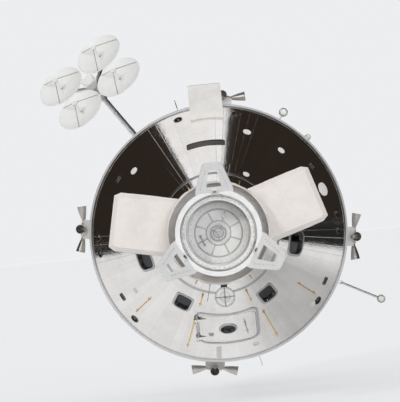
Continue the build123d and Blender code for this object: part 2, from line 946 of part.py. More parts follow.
# Forward heat shield over the nose, and the tunnel through it
forward_shield = lathe(
    (cone_radius(crew_top, cone_wall), crew_top + seat_gap),
    (cone_radius(crew_top), crew_top + seat_gap),
    (cone_radius(nose_top), nose_top),
    (tunnel_radius + seat_gap, nose_top),
    (tunnel_radius + seat_gap, nose_top - cone_wall),
)
for offset in nose_port_angles:
    port = Cylinder(nose_port_radius, port_depth + overcut, align=UPRIGHT)
    port_seat = cone_seat(hatch_angle + offset, nose_top - nose_port_drop)
    forward_shield -= port_seat * Pos(0, 0, -port_depth) * port
nodes["forward_heat_shield"] = forward_shield
nodes["docking_tunnel"] = tube(tunnel_radius, tunnel_bore, crew_top - cone_wall, tunnel_top)

# Umbilical cover, bridging the two modules on the craft's upper side
cover_side = make_face(
    Polyline(
        (hull_radius - umbilical_root, umbilical_low),
        (hull_radius + umbilical_foot, umbilical_low),
        (umbilical_reach, umbilical_low + umbilical_ramp),
        (umbilical_reach, fairing_top - umbilical_crest),
        (cone_radius(umbilical_high) + umbilical_nose, umbilical_high),
        (cone_radius(umbilical_high) - umbilical_nose, umbilical_high),
        close=True,
    )
)
module_shape = turned(
    Line((0, umbilical_low - overcut), (hull_radius + seat_gap, umbilical_low - overcut)),
    Line((hull_radius + seat_gap, umbilical_low - overcut), (hull_radius + seat_gap, cone_max_station)),
    ThreePointArc(
        (hull_radius + seat_gap, cone_max_station),
        on_corner(corner_radius + seat_gap, corner_turn / 2),
        on_corner(corner_radius + seat_gap, corner_turn),
    ),
    Line(
        on_corner(corner_radius + seat_gap, corner_turn),
        (cone_radius(crew_top, -seat_gap), crew_top),
    ),
    Line((cone_radius(crew_top, -seat_gap), crew_top), (0, crew_top)),
    Line((0, crew_top), (0, umbilical_low - overcut)),
)
cover = extrude(Plane.YZ * cover_side, umbilical_width / 2, both=True)
crest = cover.edges().filter_by(GeomType.LINE).filter_by(Axis.X).sort_by(Axis.Y)[-2:]
cover = fillet(crest, umbilical_fillet)
nodes["umbilical_cover"] = cover - module_shape

# Docking module: cone, hollow hull, and the collar that the other craft meets
dock_bulkhead = strut_foot_station - ring_travel - ring_run_out
nodes["docking_adapter_cone"] = lathe(
    (tunnel_bore, tunnel_top + seat_gap),
    (tunnel_radius + dock_cone_foot, tunnel_top + seat_gap),
    (dock_hull_radius, dock_cone_top),
    (dock_hull_radius - 2 * dock_wall, dock_cone_top),
)
collar_outer = dock_tunnel_bore + dock_tunnel_wall
inner_seat = dock_hull_radius - dock_wall / 2
hull_foot = dock_cone_top + seat_gap
dock_hull = tube(dock_hull_radius, dock_hull_radius - dock_wall, hull_foot, dock_hull_top)
for low in (hull_foot, dock_hull_top - dock_flange_width):
    dock_hull += tube(dock_hull_radius + dock_flange, inner_seat, low, low + dock_flange_width)
dock_hull += tube(
    inner_seat, collar_outer + seat_gap, dock_bulkhead, dock_bulkhead + dock_bulkhead_wall
)
for petal_angle in petal_angles:
    for side in (-1, 1):
        foot_plane = seat(petal_angle + side * strut_spread, inner_seat, strut_foot_station)
        stub_reach = inner_seat - strut_circle - strut_foot_radius - seat_gap
        dock_hull += foot_plane * rod(foot_pin, (0, 0, 0), (0, 0, -stub_reach))
hinge_line = dock_tunnel_bore + dock_hatch_lap + dock_hinge_reach
dock_hinge_station = dock_bulkhead - moving_gap - dock_hatch_wall / 2
dock_ear_run = dock_hinge_half + dock_hinge_ear_gap + dock_hinge_ear
dock_ear_drop = moving_gap + dock_hatch_wall / 2 + dock_hinge_eye
for side in (-1, 1):
    x = side * dock_hinge_spread
    dock_hull += rod(
        hinge_pin,
        (x - dock_ear_run, hinge_line, dock_hinge_station),
        (x + dock_ear_run, hinge_line, dock_hinge_station),
    )
    for ear_side in (-1, 1):
        ear = Box(dock_hinge_ear, dock_hinge_ear_width, dock_ear_drop + fuse, align=HANGING)
        ear_x = x + ear_side * (dock_ear_run - dock_hinge_ear / 2)
        dock_hull += Pos(ear_x, hinge_line + dock_hinge_ear_shift, dock_bulkhead + fuse) * ear
nodes["docking_module_hull"] = dock_hull

collar = tube(collar_outer, dock_tunnel_bore, dock_bulkhead, interface_station)
collar += tube(interface_radius, dock_tunnel_bore, interface_station - interface_height, interface_station)
collar_seat = dock_bulkhead + dock_bulkhead_wall + seat_gap
collar += tube(collar_outer + collar_foot, collar_outer - fuse, collar_seat, collar_seat + collar_foot_wall)
collar -= tube(
    seal_radius + seal_width / 2,
    seal_radius - seal_width / 2,
    interface_station - seal_depth,
    interface_station + fuse,
)

# A pin and its socket, face to face across the collar, and the hooks between them
collar += Pos(guide_pin_circle, 0, interface_station - fuse) * Cone(
    guide_pin_radius, guide_pin_radius / 2, guide_pin_height + fuse, align=UPRIGHT
)
collar -= Pos(-guide_pin_circle, 0, interface_station + fuse) * Cylinder(
    guide_pin_radius + 2 * pin_gap, guide_socket_depth + fuse, align=HANGING
)
for number in range(latch_count):
    latch_plane = seat((number + 0.5) * 360 / latch_count, dock_tunnel_bore, interface_station)
    hook = make_face(Polyline(*latch_outline, close=True))
    collar += latch_plane * extrude(Plane.YZ * hook, latch_width / 2, both=True)
nodes["docking_collar"] = collar

# Tank covers on both sides of the docking module
for side, cover_angle in cover_angles.items():
    half_root = cover_root_width / 2
    half_face = cover_face_width / 2
    outline = make_face(
        Polyline(
            (0, -half_root),
            (cover_shoulder, -half_root),
            (cover_reach, -half_face),
            (cover_reach, half_face),
            (cover_shoulder, half_root),
            (0, half_root),
            close=True,
        )
    )
    box = extrude(Pos(0, 0, cover_low) * outline, cover_high - cover_low)
    box = chamfer(box.edges().group_by(Axis.Z)[-1] + box.edges().group_by(Axis.Z)[0], cover_edge)
    box -= Pos(0, 0, cover_low - overcut) * Cylinder(
        dock_hull_radius + seat_gap, cover_high - cover_low + 2 * overcut, align=UPRIGHT
    )
    nodes[f"tank_cover_{side}"] = Rot(0, 0, cover_angle) * box.solids().sort_by(Axis.X)[-1]

# Guide ring with three petals, and the six struts that ride with it
ring_top = ring_station + ring_height
guide_ring = tube(ring_outer, ring_inner, ring_station, ring_top)
guide_ring = chamfer(guide_ring.edges().group_by(Axis.Z)[0], ring_bevel)
flare = math.radians(petal_flare)
for petal_angle in petal_angles:
    a = math.radians(petal_angle)
    root_radius = (ring_inner + ring_outer) / 2 + petal_wall / 2
    plane = Plane(
        origin=(root_radius * math.cos(a), root_radius * math.sin(a), ring_top),
        x_dir=(-math.sin(a), math.cos(a), 0),
        z_dir=(math.cos(flare) * math.cos(a), math.cos(flare) * math.sin(a), -math.sin(flare)),
    )
    outline = make_face(
        Polyline(
            (-petal_root / 2, -petal_root_run),
            (petal_root / 2, -petal_root_run),
            (petal_root / 2, petal_shoulder),
            (petal_tip / 2, petal_length),
            (-petal_tip / 2, petal_length),
            (-petal_root / 2, petal_shoulder),
            close=True,
        )
    )
    outline = fillet(outline.vertices().group_by(Axis.Y)[-1], petal_corner)
    window = make_face(
        Polyline(
            (-petal_window_root / 2, petal_window_low),
            (petal_window_root / 2, petal_window_low),
            (petal_window_tip / 2, petal_window_high),
            (-petal_window_tip / 2, petal_window_high),
            close=True,
        )
    )
    window = fillet(window.vertices(), petal_window_corner)
    petal = extrude(outline - window, petal_wall / 2, both=True)
    for side in (-1, 1):
        rib = make_face(
            Polyline(
                (side * (petal_root / 2 - petal_rib_inset), petal_shoulder),
                (side * (petal_root / 2 - petal_rib_inset - petal_rib), petal_shoulder),
                (side * (petal_tip / 2 - petal_rib_inset - petal_rib), petal_length - petal_corner),
                (side * (petal_tip / 2 - petal_rib_inset), petal_length - petal_corner),
                close=True,
            )
        )
        petal += extrude(rib, petal_wall / 2 + petal_rib_height)
    catch = Box(catch_width, catch_length, petal_wall / 2 + catch_height, align=HANGING)
    petal += Pos(0, catch_place, 0) * catch
    guide_ring += plane * petal
below_ring = tube(ring_outer + petal_root, ring_inner - petal_root, ring_station - petal_length, ring_station)
guide_ring -= below_ring
guide_ring -= Pos(0, 0, ring_station - fuse) * Cylinder(ring_inner, ring_height + fuse, align=UPRIGHT)
nodes["guide_ring"] = guide_ring


def on_circle(turn, radius, station):
    a = math.radians(turn)
    return (radius * math.cos(a), radius * math.sin(a), station)


struts = []
for petal_angle in petal_angles:
    for side in (-1, 1):
        foot = Vector(on_circle(petal_angle + side * strut_spread, strut_circle, strut_foot_station))
        head = Vector(
            on_circle(petal_angle + side * strut_top_spread, strut_circle, ring_station - strut_head_drop)
        )
        run = head - foot
        middle = foot + run / 2
        strut = rod(strut_sleeve, foot, middle)
        strut += rod(strut_collar, middle - run.normalized() * strut_collar_width, middle)
        strut += rod(strut_radius, foot, head)
        strut += Pos(*foot) * Sphere(strut_foot_radius)
        strut += Pos(*head) * Cylinder(strut_radius, strut_head_drop - seat_gap, align=UPRIGHT)
        struts.append(strut)
nodes["attenuator_struts"] = struts

# Forward hatch of the docking module, hung inside the hull
dock_hatch_radius = dock_tunnel_bore + dock_hatch_lap
dock_hatch = Pos(0, 0, dock_hinge_station) * Cylinder(dock_hatch_radius, dock_hatch_wall)
dock_hatch += Pos(0, 0, dock_hinge_station + dock_hatch_wall / 2) * Cylinder(
    dock_tunnel_bore - dock_plug_inset, dock_hatch_wall, align=UPRIGHT
)
for side in (-1, 1):
    x = side * dock_hinge_spread
    eye = rod(
        dock_hinge_eye,
        (x - dock_hinge_half, hinge_line, dock_hinge_station),
        (x + dock_hinge_half, hinge_line, dock_hinge_station),
    )
    strap_size = (2 * dock_hinge_half, dock_hinge_strap_reach, dock_hinge_strap)
    strap = Box(*strap_size, align=(Align.CENTER, Align.MAX, Align.CENTER))
    eye += Pos(x, hinge_line, dock_hinge_station) * strap
    eye -= rod(
        hinge_pin + pin_gap,
        (x - dock_hinge_half - fuse, hinge_line, dock_hinge_station),
        (x + dock_hinge_half + fuse, hinge_line, dock_hinge_station),
    )
    dock_hatch += eye
nodes["docking_module_hatch"] = dock_hatch

# Docking target on the lower side of the docking module
arm_width, arm_length = target_arm
target_plane = seat(target_angle, dock_hull_radius + seat_gap, target_station)
target = target_plane * Box(arm_width, arm_length, target_reach - dock_hull_radius, align=UPRIGHT)
target_face = seat(target_angle, target_reach - target_face_inset, target_station)
target_face = target_face * Pos(0, arm_length / 2, 0) * Rot(-90, 0, 0)
bar_length, bar_width, bar_wall = target_bar
bars = Box(bar_length, bar_width, bar_wall) + Box(bar_width, bar_length, bar_wall)
target += target_face * Cylinder(target_radius, target_wall, align=UPRIGHT)
target += target_face * Cylinder(target_post, target_stand_off, align=UPRIGHT)
target += target_face * Pos(0, 0, target_stand_off) * bars
nodes["docking_target"] = target - Cylinder(dock_hull_radius + seat_gap, interface_station, align=UPRIGHT)

# High-gain antenna. Boom axes: X out from the hull, Y round it, Z towards the nose
a = math.radians(boom_angle)
boom_plane = Plane(
    origin=(boom_root_radius * math.cos(a), boom_root_radius * math.sin(a), boom_root_station),
    x_dir=(math.cos(a), math.sin(a), 0),
    z_dir=(0, 0, 1),
)
LEVEL = (Align.MIN, Align.CENTER, Align.CENTER)
eye_half = boom_radius + eye_rim
lug_half = eye_half + moving_gap
base_rise = -boom_root_station - seat_gap
bracket = Pos(0, 0, base_rise) * Box(
    boom_base_width, 2 * (lug_half + boom_lug + boom_base_margin), boom_base_wall, align=HANGING
)
for side in (-1, 1):
    y = side * (lug_half + boom_lug / 2)
    lug = Box(boom_lug_width, boom_lug, boom_lug_tail + base_rise, align=HANGING)
    bracket += Pos(0, y, base_rise) * lug
bracket += rod(boom_pin, (0, -lug_half - fuse, 0), (0, lug_half + fuse, 0))
nodes["boom_bracket"] = boom_plane * bracket
boom_end = boom_length - yoke_reach
boom = rod(boom_eye, (0, -eye_half, 0), (0, eye_half, 0))
boom += rod(boom_radius, (0, 0, 0), (boom_end, 0, 0))
boom += rod(boom_collar, (boom_end - boom_collar_width, 0, 0), (boom_end, 0, 0))
boom += rod(boom_spigot, (boom_end, 0, 0), (boom_end + boom_spigot_length, 0, 0))
boom -= rod(boom_pin + pin_gap, (0, -eye_half - fuse, 0), (0, eye_half + fuse, 0))
nodes["antenna_boom"] = boom_plane * boom

hub_start = boom_end + moving_gap
bridge_start = boom_end + boom_spigot_length + moving_gap
arm_start = bridge_start + yoke_bridge / 2
fork_half = yoke_gap + yoke_arm
yoke = rod(yoke_hub, (hub_start, 0, 0), (hub_start + yoke_hub_length, 0, 0))
yoke += Pos(bridge_start, 0, 0) * Box(yoke_bridge, 2 * fork_half, yoke_bridge_width, align=LEVEL)
for side in (-1, 1):
    y = side * (yoke_gap + yoke_arm / 2)
    yoke += Pos(arm_start, y, 0) * Box(boom_length - arm_start, yoke_arm, yoke_arm_width, align=LEVEL)
    yoke += rod(yoke_eye, (boom_length, y - yoke_arm / 2, 0), (boom_length, y + yoke_arm / 2, 0))
yoke -= rod(boom_spigot + pin_gap, (hub_start - fuse, 0, 0), (bridge_start - seat_gap, 0, 0))
yoke -= rod(dish_axle + pin_gap, (boom_length, -fork_half - fuse, 0), (boom_length, fork_half + fuse, 0))
nodes["antenna_yoke"] = boom_plane * yoke

dish_plane = boom_plane * Pos(boom_length, 0, 0) * Rot(0, dish_tilt, 0)
beam_low = dish_offset - dish_wall - boss_height
frame_top = beam_low + beam_height
sleeve_half = yoke_gap - moving_gap
dish_frame = rod(dish_sleeve, (0, -sleeve_half, 0), (0, sleeve_half, 0))
dish_frame += rod(dish_axle, (0, -fork_half, 0), (0, fork_half, 0))
dish_frame += rod(dish_post, (0, 0, 0), (0, 0, frame_top))
dish_reach = dish_pitch * math.sqrt(2)
for turn in (45, 135, 225, 315):
    beam = Pos(0, 0, beam_low) * Box(
        dish_reach + boss_radius - fuse, beam_width, beam_height, align=(Align.MIN, Align.CENTER, Align.MIN)
    )
    boss = Pos(dish_reach, 0, beam_low) * Cylinder(boss_radius, boss_height - seat_gap, align=UPRIGHT)
    dish_frame += Rot(0, 0, turn) * (beam + boss)
nodes["dish_frame"] = dish_plane * dish_frame


def bowl(radius, depth, shift):
    """A dish's arc from its vertex to its rim, shifted along its axis."""
    return ThreePointArc((0, shift), (radius / 2, depth / 4 + shift), (radius, depth + shift))


dishes = []
for x in (-dish_pitch, dish_pitch):
    for y in (-dish_pitch, dish_pitch):
        dish = turned(
            bowl(dish_radius, dish_depth, -dish_wall),
            Line((dish_radius, dish_depth - dish_wall), (dish_radius, dish_depth)),
            bowl(dish_radius, dish_depth, 0),
            Line((0, 0), (0, -dish_wall)),
        )
        dish += Pos(0, 0, -dish_wall / 2) * Cylinder(feed_radius, feed_length, align=UPRIGHT)
        dish += Pos(0, 0, feed_length) * Cylinder(feed_cup, feed_cup_height, align=HANGING)
        dishes.append(dish_plane * Pos(x, y, dish_offset) * dish)
nodes["dish_reflectors"] = dishes


def square(side, height):
    return Plane((0, 0, height)) * Rectangle(side, side)


horn_floor = frame_top + seat_gap
horn = loft([square(horn_foot, horn_floor), square(horn_width, frame_top + horn_depth)])
horn -= loft([
    square(horn_foot - 2 * horn_wall, horn_floor + horn_wall),
    square(horn_width - 2 * horn_wall, frame_top + horn_depth + fuse),
])
nodes["dish_horn"] = dish_plane * horn

# Floodlight on its folding pole
hull_space = Cylinder(hull_radius + seat_gap, fairing_top, align=UPRIGHT)
pole_plane = seat(pole_angle, hull_radius, fitting_station)
ear_middle = pole_eye_half + moving_gap + pole_ear / 2
base = Pos(0, 0, -fitting_sink) * Box(*pole_base, align=UPRIGHT)
for side in (-1, 1):
    base += Pos(side * ear_middle, 0, 0) * Box(pole_ear, pole_ear_width, pole_ear_top, align=UPRIGHT)
base += rod(pole_pin, (-ear_middle, 0, pole_pivot), (ear_middle, 0, pole_pivot))
nodes["pole_bracket"] = (pole_plane * base) - hull_space
pole = rod(pole_eye, (-pole_eye_half, 0, pole_pivot), (pole_eye_half, 0, pole_pivot))
pole += rod(pole_radius, (0, 0, pole_pivot), (0, 0, pole_length - lamp_radius + fuse))
pole -= rod(
    pole_pin + pin_gap, (-pole_eye_half - fuse, 0, pole_pivot), (pole_eye_half + fuse, 0, pole_pivot)
)
nodes["floodlight_pole"] = pole_plane * pole
lamp = rod(lamp_radius, (0, -lamp_length / 2, 0), (0, lamp_length / 2, 0))
lamp -= rod(lamp_radius - lamp_wall, (0, lamp_length / 2 - lamp_recess, 0), (0, lamp_length, 0))
lamp_socket = rod(pole_radius + seat_gap, (0, 0, -pole_length / 2), (0, 0, fuse + seat_gap - lamp_radius))
nodes["floodlight"] = pole_plane * Pos(0, 0, pole_length) * (lamp - lamp_socket)

# Scimitar antennas, flashing beacon and docking spotlight round the top of the hull
scimitars = []
half = scimitar_half_length
for scimitar_angle in scimitar_angles:
    blade = make_face(
        Wire([
            Line((-half, -fitting_sink), (half, -fitting_sink)),
            Line((half, -fitting_sink), (half, scimitar_heel)),
            ThreePointArc(
                (half, scimitar_heel), (half * 0.63, scimitar_height * 0.72), (-half * 0.4, scimitar_height)
            ),
            ThreePointArc(
                (-half * 0.4, scimitar_height), (half * 0.07, scimitar_height / 2), (-half, scimitar_heel)
            ),
            Line((-half, scimitar_heel), (-half, -fitting_sink)),
        ])
    )
    blade = extrude(Plane.YZ * blade, scimitar_wall / 2, both=True)
    blade += Pos(0, 0, -fitting_sink) * Box(*scimitar_base, align=UPRIGHT)
    scimitars.append((seat(scimitar_angle, hull_radius, fitting_station) * blade) - hull_space)
nodes["scimitar_antennas"] = scimitars
beacon = Pos(0, 0, -fitting_sink) * Cylinder(
    beacon_radius + beacon_rim, beacon_base + fitting_sink, align=UPRIGHT
)
beacon += Cylinder(beacon_radius, beacon_height, align=UPRIGHT)
beacon += Pos(0, 0, beacon_height) * Sphere(beacon_radius)
nodes["flashing_beacon"] = (seat(beacon_angle, hull_radius, fitting_station) * beacon) - hull_space
post_width, post_length = spotlight_post
spot = Pos(0, 0, -fitting_sink) * Box(*spotlight_base, align=UPRIGHT)
spot += Box(post_width, post_length, spotlight_reach, align=UPRIGHT)
spot += rod(spotlight_radius, (0, -spotlight_back, spotlight_reach), (0, spotlight_front, spotlight_reach))
spot -= rod(
    spotlight_radius - lamp_wall,
    (0, spotlight_front - lamp_recess, spotlight_reach),
    (0, spotlight_front + fuse, spotlight_reach),
)
nodes["docking_spotlight"] = (seat(spotlight_angle, hull_radius, fitting_station) * spot) - hull_space
nodes["power_radiators"] = power_panels
nodes["window_panes"] = panes

# The craft is laid down: nose along -Y, umbilical side up
lay_down = Rot(90, 0, 0)
os.makedirs("parts", exist_ok=True)
for name, shape in nodes.items():
    pieces = shape if isinstance(shape, list) else [shape]
    solids = []
    for piece in pieces:
        solids.extend((lay_down * piece).solids())
    export_step(Compound(children=solids), f"parts/{name}.step")
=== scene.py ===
import math

import bmesh
import bpy
from mathutils import Matrix, Vector, noise


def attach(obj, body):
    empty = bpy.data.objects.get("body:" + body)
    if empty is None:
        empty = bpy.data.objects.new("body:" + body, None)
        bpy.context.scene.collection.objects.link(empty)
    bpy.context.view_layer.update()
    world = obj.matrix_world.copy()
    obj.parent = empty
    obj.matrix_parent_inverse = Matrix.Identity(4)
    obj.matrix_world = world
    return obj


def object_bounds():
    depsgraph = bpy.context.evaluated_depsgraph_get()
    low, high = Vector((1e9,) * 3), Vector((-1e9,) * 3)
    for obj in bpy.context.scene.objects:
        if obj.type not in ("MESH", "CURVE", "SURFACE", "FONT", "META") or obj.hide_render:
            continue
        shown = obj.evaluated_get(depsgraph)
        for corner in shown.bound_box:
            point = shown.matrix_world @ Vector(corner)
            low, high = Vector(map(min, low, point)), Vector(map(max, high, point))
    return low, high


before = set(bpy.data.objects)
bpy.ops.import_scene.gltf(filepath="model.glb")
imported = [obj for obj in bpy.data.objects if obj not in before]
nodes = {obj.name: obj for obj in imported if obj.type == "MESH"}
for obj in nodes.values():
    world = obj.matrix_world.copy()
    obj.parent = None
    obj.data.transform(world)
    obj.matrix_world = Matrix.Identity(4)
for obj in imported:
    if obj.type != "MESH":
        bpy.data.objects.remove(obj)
cad_low, cad_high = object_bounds()

# The craft's own axes: stations run along Z from the aft ring to the nose, angles counter-clockwise
# from X seen from the nose. This turns them into the frame's: nose along -Y, upper side along +Z.
LAY_DOWN = Matrix.Rotation(math.pi / 2, 4, "X")

# Service module
HULL_RADIUS = 1.955
BAYS_LOW = 0.115
BAYS_HIGH = 3.835
SEAM_SIDE = 1.1
DOUBLER = 0.0016
CABIN_RADIATORS = (133, 313)
RADIATOR_FACE = HULL_RADIUS + 0.0083
QUAD_ANGLES = (-7.25, 82.75, 172.75, 262.75)
QUAD_STATION = 2.90
QUAD_SINK = 0.00576
QUAD_TOP = 0.150
QUAD_DOOR = (0.86, 1.5)
QUAD_DOOR_FACE = HULL_RADIUS + 0.0103
VALVE_OFFSET = 0.095
JET_ANGLE = 80
UMBILICAL_TOP = (0, 2.27, 4.23)
UMBILICAL_SIZE = (0.46, 0.36)
ENGINE_JOINT = -0.33
BELL_LENGTH = 2.8
ENGINE_BOLTS = 0.393
FUEL_RING = -0.205

# Crew module
CONE_ANGLE = math.radians(33)
# The rolled corner between the aft heat shield and the cone, and where its arc is centred
CORNER_RADIUS = 0.196
CORNER_STATION = 4.62
CORNER_CENTRE = 1.759
CONE_START = CORNER_STATION + CORNER_RADIUS * math.sin(CONE_ANGLE)
CONE_START_RADIUS = CORNER_CENTRE + CORNER_RADIUS * math.cos(CONE_ANGLE)
CREW_TOP_RADIUS = 0.882
NOSE_RADIUS = 0.447
CREW_TOP = CONE_START + (CONE_START_RADIUS - CREW_TOP_RADIUS) / math.tan(CONE_ANGLE)
NOSE_TOP = CONE_START + (CONE_START_RADIUS - NOSE_RADIUS) / math.tan(CONE_ANGLE)
HATCH_ANGLE = 270
HATCH_STATION = 5.48
HATCH_SIZE = (0.82, 0.70)
HATCH_FRAME = (0.968, 0.848)
PORT_STATION = CONE_START + 0.175
PORT_ANGLES = (-94, -86, -50, 50, 86, 94, 166, 194)
COUCH_TOP = 5.1203

# Docking module
DOCK_RADIUS = 0.71
DOCK_TOP = NOSE_TOP + 2.60
DOCK_ENDS = (7.618, 9.582)
INTERFACE = DOCK_TOP + 0.33
RING_STATION = INTERFACE + 0.11
RING_TOP = RING_STATION + 0.056
PETAL_ANGLES = (90, 210, 330)
PETAL_LEAN = -math.radians(48)
PETAL_ROOT = 0.575
STRUT_RADIUS = 0.562
RING_RADIUS = 0.596
COLLAR_RADIUS = 0.512
COLLAR_BOLTS = 0.481
COLLAR_SEAL = 0.503
TUNNEL_HATCH_FACE = DOCK_TOP - 0.356 + 0.03
TARGET_STATION = DOCK_TOP - 0.12
TARGET_REACH = 0.89
COVER_ANGLES = (168, 17)
COVER_FACE = 1.50
COVER_STATION = 8.61
COVER_SIZE = (0.66, 1.12)
COVER_FLANK = (0.48, 1.08)
COVER_DOOR = (0.30, 0.34)
# Stations of the blankets' seams, and how far from a seam the puffed rows stand
DOCK_SEAMS = (7.642, 7.76, 7.90, 8.065, 8.25, COVER_STATION, 8.97, 9.125, 9.28, 9.44, 9.558)
SEAM_STEPS = (0.020, 0.030, 0.050)

# Antenna boom
BOOM_ANGLE = 124.75
BOOM_ROOT = (1.835, -0.095)
BOOM_LENGTH = 1.2
DISH_TURN = 50
DISH_RISE = 0.165
DISH_OFFSET = 0.41
DISH_RADIUS = 0.3935
DISH_DEPTH = 0.12

# Lights: angle, and how high the lamp stands over the hull
FLOODLIGHT = (-27.75, 0.74)
SPOTLIGHT = (56, 0.15)
BEACON_ANGLE = 41.25
LAMP_STATION = 3.80

# Start and span of each bay
BAYS = ((18, 50), (68, 70), (138, 60), (198, 50), (248, 70), (318, 60))
# Middle angles, half angle, low and high station of what covers the hull's screws
HULL_COVERS = (
    (CABIN_RADIATORS, 59, 0.40, 1.56),
    (QUAD_ANGLES, 13, 2.14, 3.66),
    ((90,), 8, 3.68, 5.0),
)
# Angle, station, width and length
ACCESS_DOORS = (
    (30, 0.75, 0.34, 0.50),
    (56, 0.75, 0.34, 0.50),
    (43, 2.00, 0.50, 0.36),
    (120, 2.20, 0.36, 0.46),
    (149, 3.10, 0.30, 0.30),
    (210, 0.80, 0.50, 0.60),
    (236, 1.90, 0.30, 0.40),
    (215, 3.20, 0.42, 0.32),
    (300, 2.40, 0.50, 0.70),
    (330, 3.20, 0.30, 0.30),
)
# Angle, station and radius
FILL_CAPS = (
    (36, 3.05, 0.085),
    (42, 3.35, 0.060),
    (128, 3.30, 0.070),
    (206, 2.35, 0.075),
    (214, 2.35, 0.055),
    (304, 3.40, 0.060),
    (232, 2.75, 0.085),
)
# How high a coolant tube rises over the radiator's face, and how far along the craft from its middle
RIDGE = ((-0.001, -0.009), (0.003, -0.006), (0.0045, 0.0), (0.003, 0.006), (-0.001, 0.009))
# Angle from the hatch line, station, width, slant length and corner radius
WINDOWS = (
    (-33, CREW_TOP - 0.415, 0.215, 0.33, 0.06),
    (33, CREW_TOP - 0.415, 0.215, 0.33, 0.06),
    (-77, CREW_TOP - 0.425, 0.33, 0.33, 0.09),
    (77, CREW_TOP - 0.425, 0.33, 0.33, 0.09),
)
# Angle from the hatch line, and the stations of both ends
HANDRAILS = (
    (-21, 5.00, 5.62),
    (24, 5.00, 5.62),
    (-52, 5.10, 5.50),
    (52, 5.10, 5.50),
    (20, 6.02, 6.25),
    (-20, 6.02, 6.25),
)
# Angle, station and radius of the pale caps over the cone's vents and sample ports
CONE_CAPS = (
    (68.5, 5.27, 0.060),
    (47, 5.30, 0.055),
    (138, 5.27, 0.060),
    (59, 6.22, 0.050),
    (17, 5.07, 0.105),
    (209, 5.36, 0.045),
    (283, 4.98, 0.050),
    (317, 4.96, 0.055),
)
# Angle and station
CONE_VENTS = ((30, 5.02), (146, 5.05), (12, 5.62), (330, 4.98), (208, 5.02))
# Low end, high end and width of each couch's pads
COUCH_PADS = ((-0.545, -0.415, 0.40), (-0.36, 0.13, 0.50), (0.14, 0.41, 0.50))
# Radius and height of a lamp's lens
LENS = (
    (0.0005, -0.004),
    (0.049, -0.004),
    (0.049, 0.002),
    (0.036, 0.008),
    (0.018, 0.0115),
    (0.0005, 0.0125),
)


# Places


def move(x, y, z):
    return Matrix.Translation((x, y, z))


def turn(axis, degrees):
    return Matrix.Rotation(math.radians(degrees), 4, axis)


def facing(way):
    """Turn that points Z along a way."""
    return way.to_track_quat("Z", "Y").to_matrix().to_4x4()


def place(origin, x_axis, z_axis):
    """Matrix of a place with its X and Z along two ways."""
    axes = Matrix((x_axis, z_axis.cross(x_axis), z_axis)).transposed().to_4x4()
    return Matrix.Translation(origin) @ axes


def around(angle, radius, station):
    """A point at an angle, a radius and a station."""
    a = math.radians(angle)
    return Vector((radius * math.cos(a), radius * math.sin(a), station))


def seat(angle, radius, station, lean=0.0):
    """Matrix of a place on a round skin that leans in: X runs round, Y towards the nose, Z straight out."""
    a = math.radians(angle)
    out = Vector((math.cos(lean) * math.cos(a), math.cos(lean) * math.sin(a), math.sin(lean)))
    return place(around(angle, radius, station), Vector((-math.sin(a), math.cos(a), 0)), out)


def cone_radius(station):
    return CONE_START_RADIUS - (station - CONE_START) * math.tan(CONE_ANGLE)


def cone_seat(angle, station):
    return seat(angle, cone_radius(station), station, CONE_ANGLE)


def on_hull(angle, station, radius=HULL_RADIUS):
    """Flat work bent onto the hull: X runs round it, Y towards the nose and Z outwards."""
    return lambda x, y: seat(angle + math.degrees(x / radius), radius, station + y)


def on_cone(angle, station, rise=0.0):
    """Flat work bent onto the cone: X runs round it, Y up its slant and Z straight out."""

    def spot(x, y):
        up = station + y * math.cos(CONE_ANGLE)
        return cone_seat(angle + math.degrees(x / cone_radius(up)), up) @ move(0, 0, rise)

    return spot


def on_plane(at):
    """Flat work on a plane."""
    return lambda x, y: at @ move(x, y, 0)


def spread(count, start=0.0):
    """Angles evenly spread round a circle."""
    return [start + 360 * number / count for number in range(count)]


def ring_points(count, radius):
    """Points evenly spread on a circle."""
    return [tuple(around(angle, radius, 0).xy) for angle in spread(count)]


def corners(off):
    """The four corners of a square."""
    return [(x, y) for x in (-off, off) for y in (-off, off)]


def border(width, length, inset, pitch):
    """Points along the border of a plate, evenly spread, for its screws."""
    across, along = width - 2 * inset, length - 2 * inset
    columns, rows = max(1, round(across / pitch)), max(1, round(along / pitch))
    for n in range(columns):
        x = -across / 2 + n * across / columns
        yield x, -along / 2
        yield -x, along / 2
    for n in range(rows):
        y = -along / 2 + n * along / rows
        yield across / 2, y
        yield -across / 2, -y


def band(inner, outer, half):
    """Outline of a hoop of flat bar, for turning."""
    return [(inner, -half), (outer, -half), (outer, half), (inner, half)]


def covered(angle, station):
    """Whether a radiator, a thruster door or the umbilical cover lies over this place of the hull."""
    return any(
        low < station < high and abs((angle - middle + 180) % 360 - 180) < half
        for middles, half, low, high in HULL_COVERS
        for middle in middles
    )


# Materials


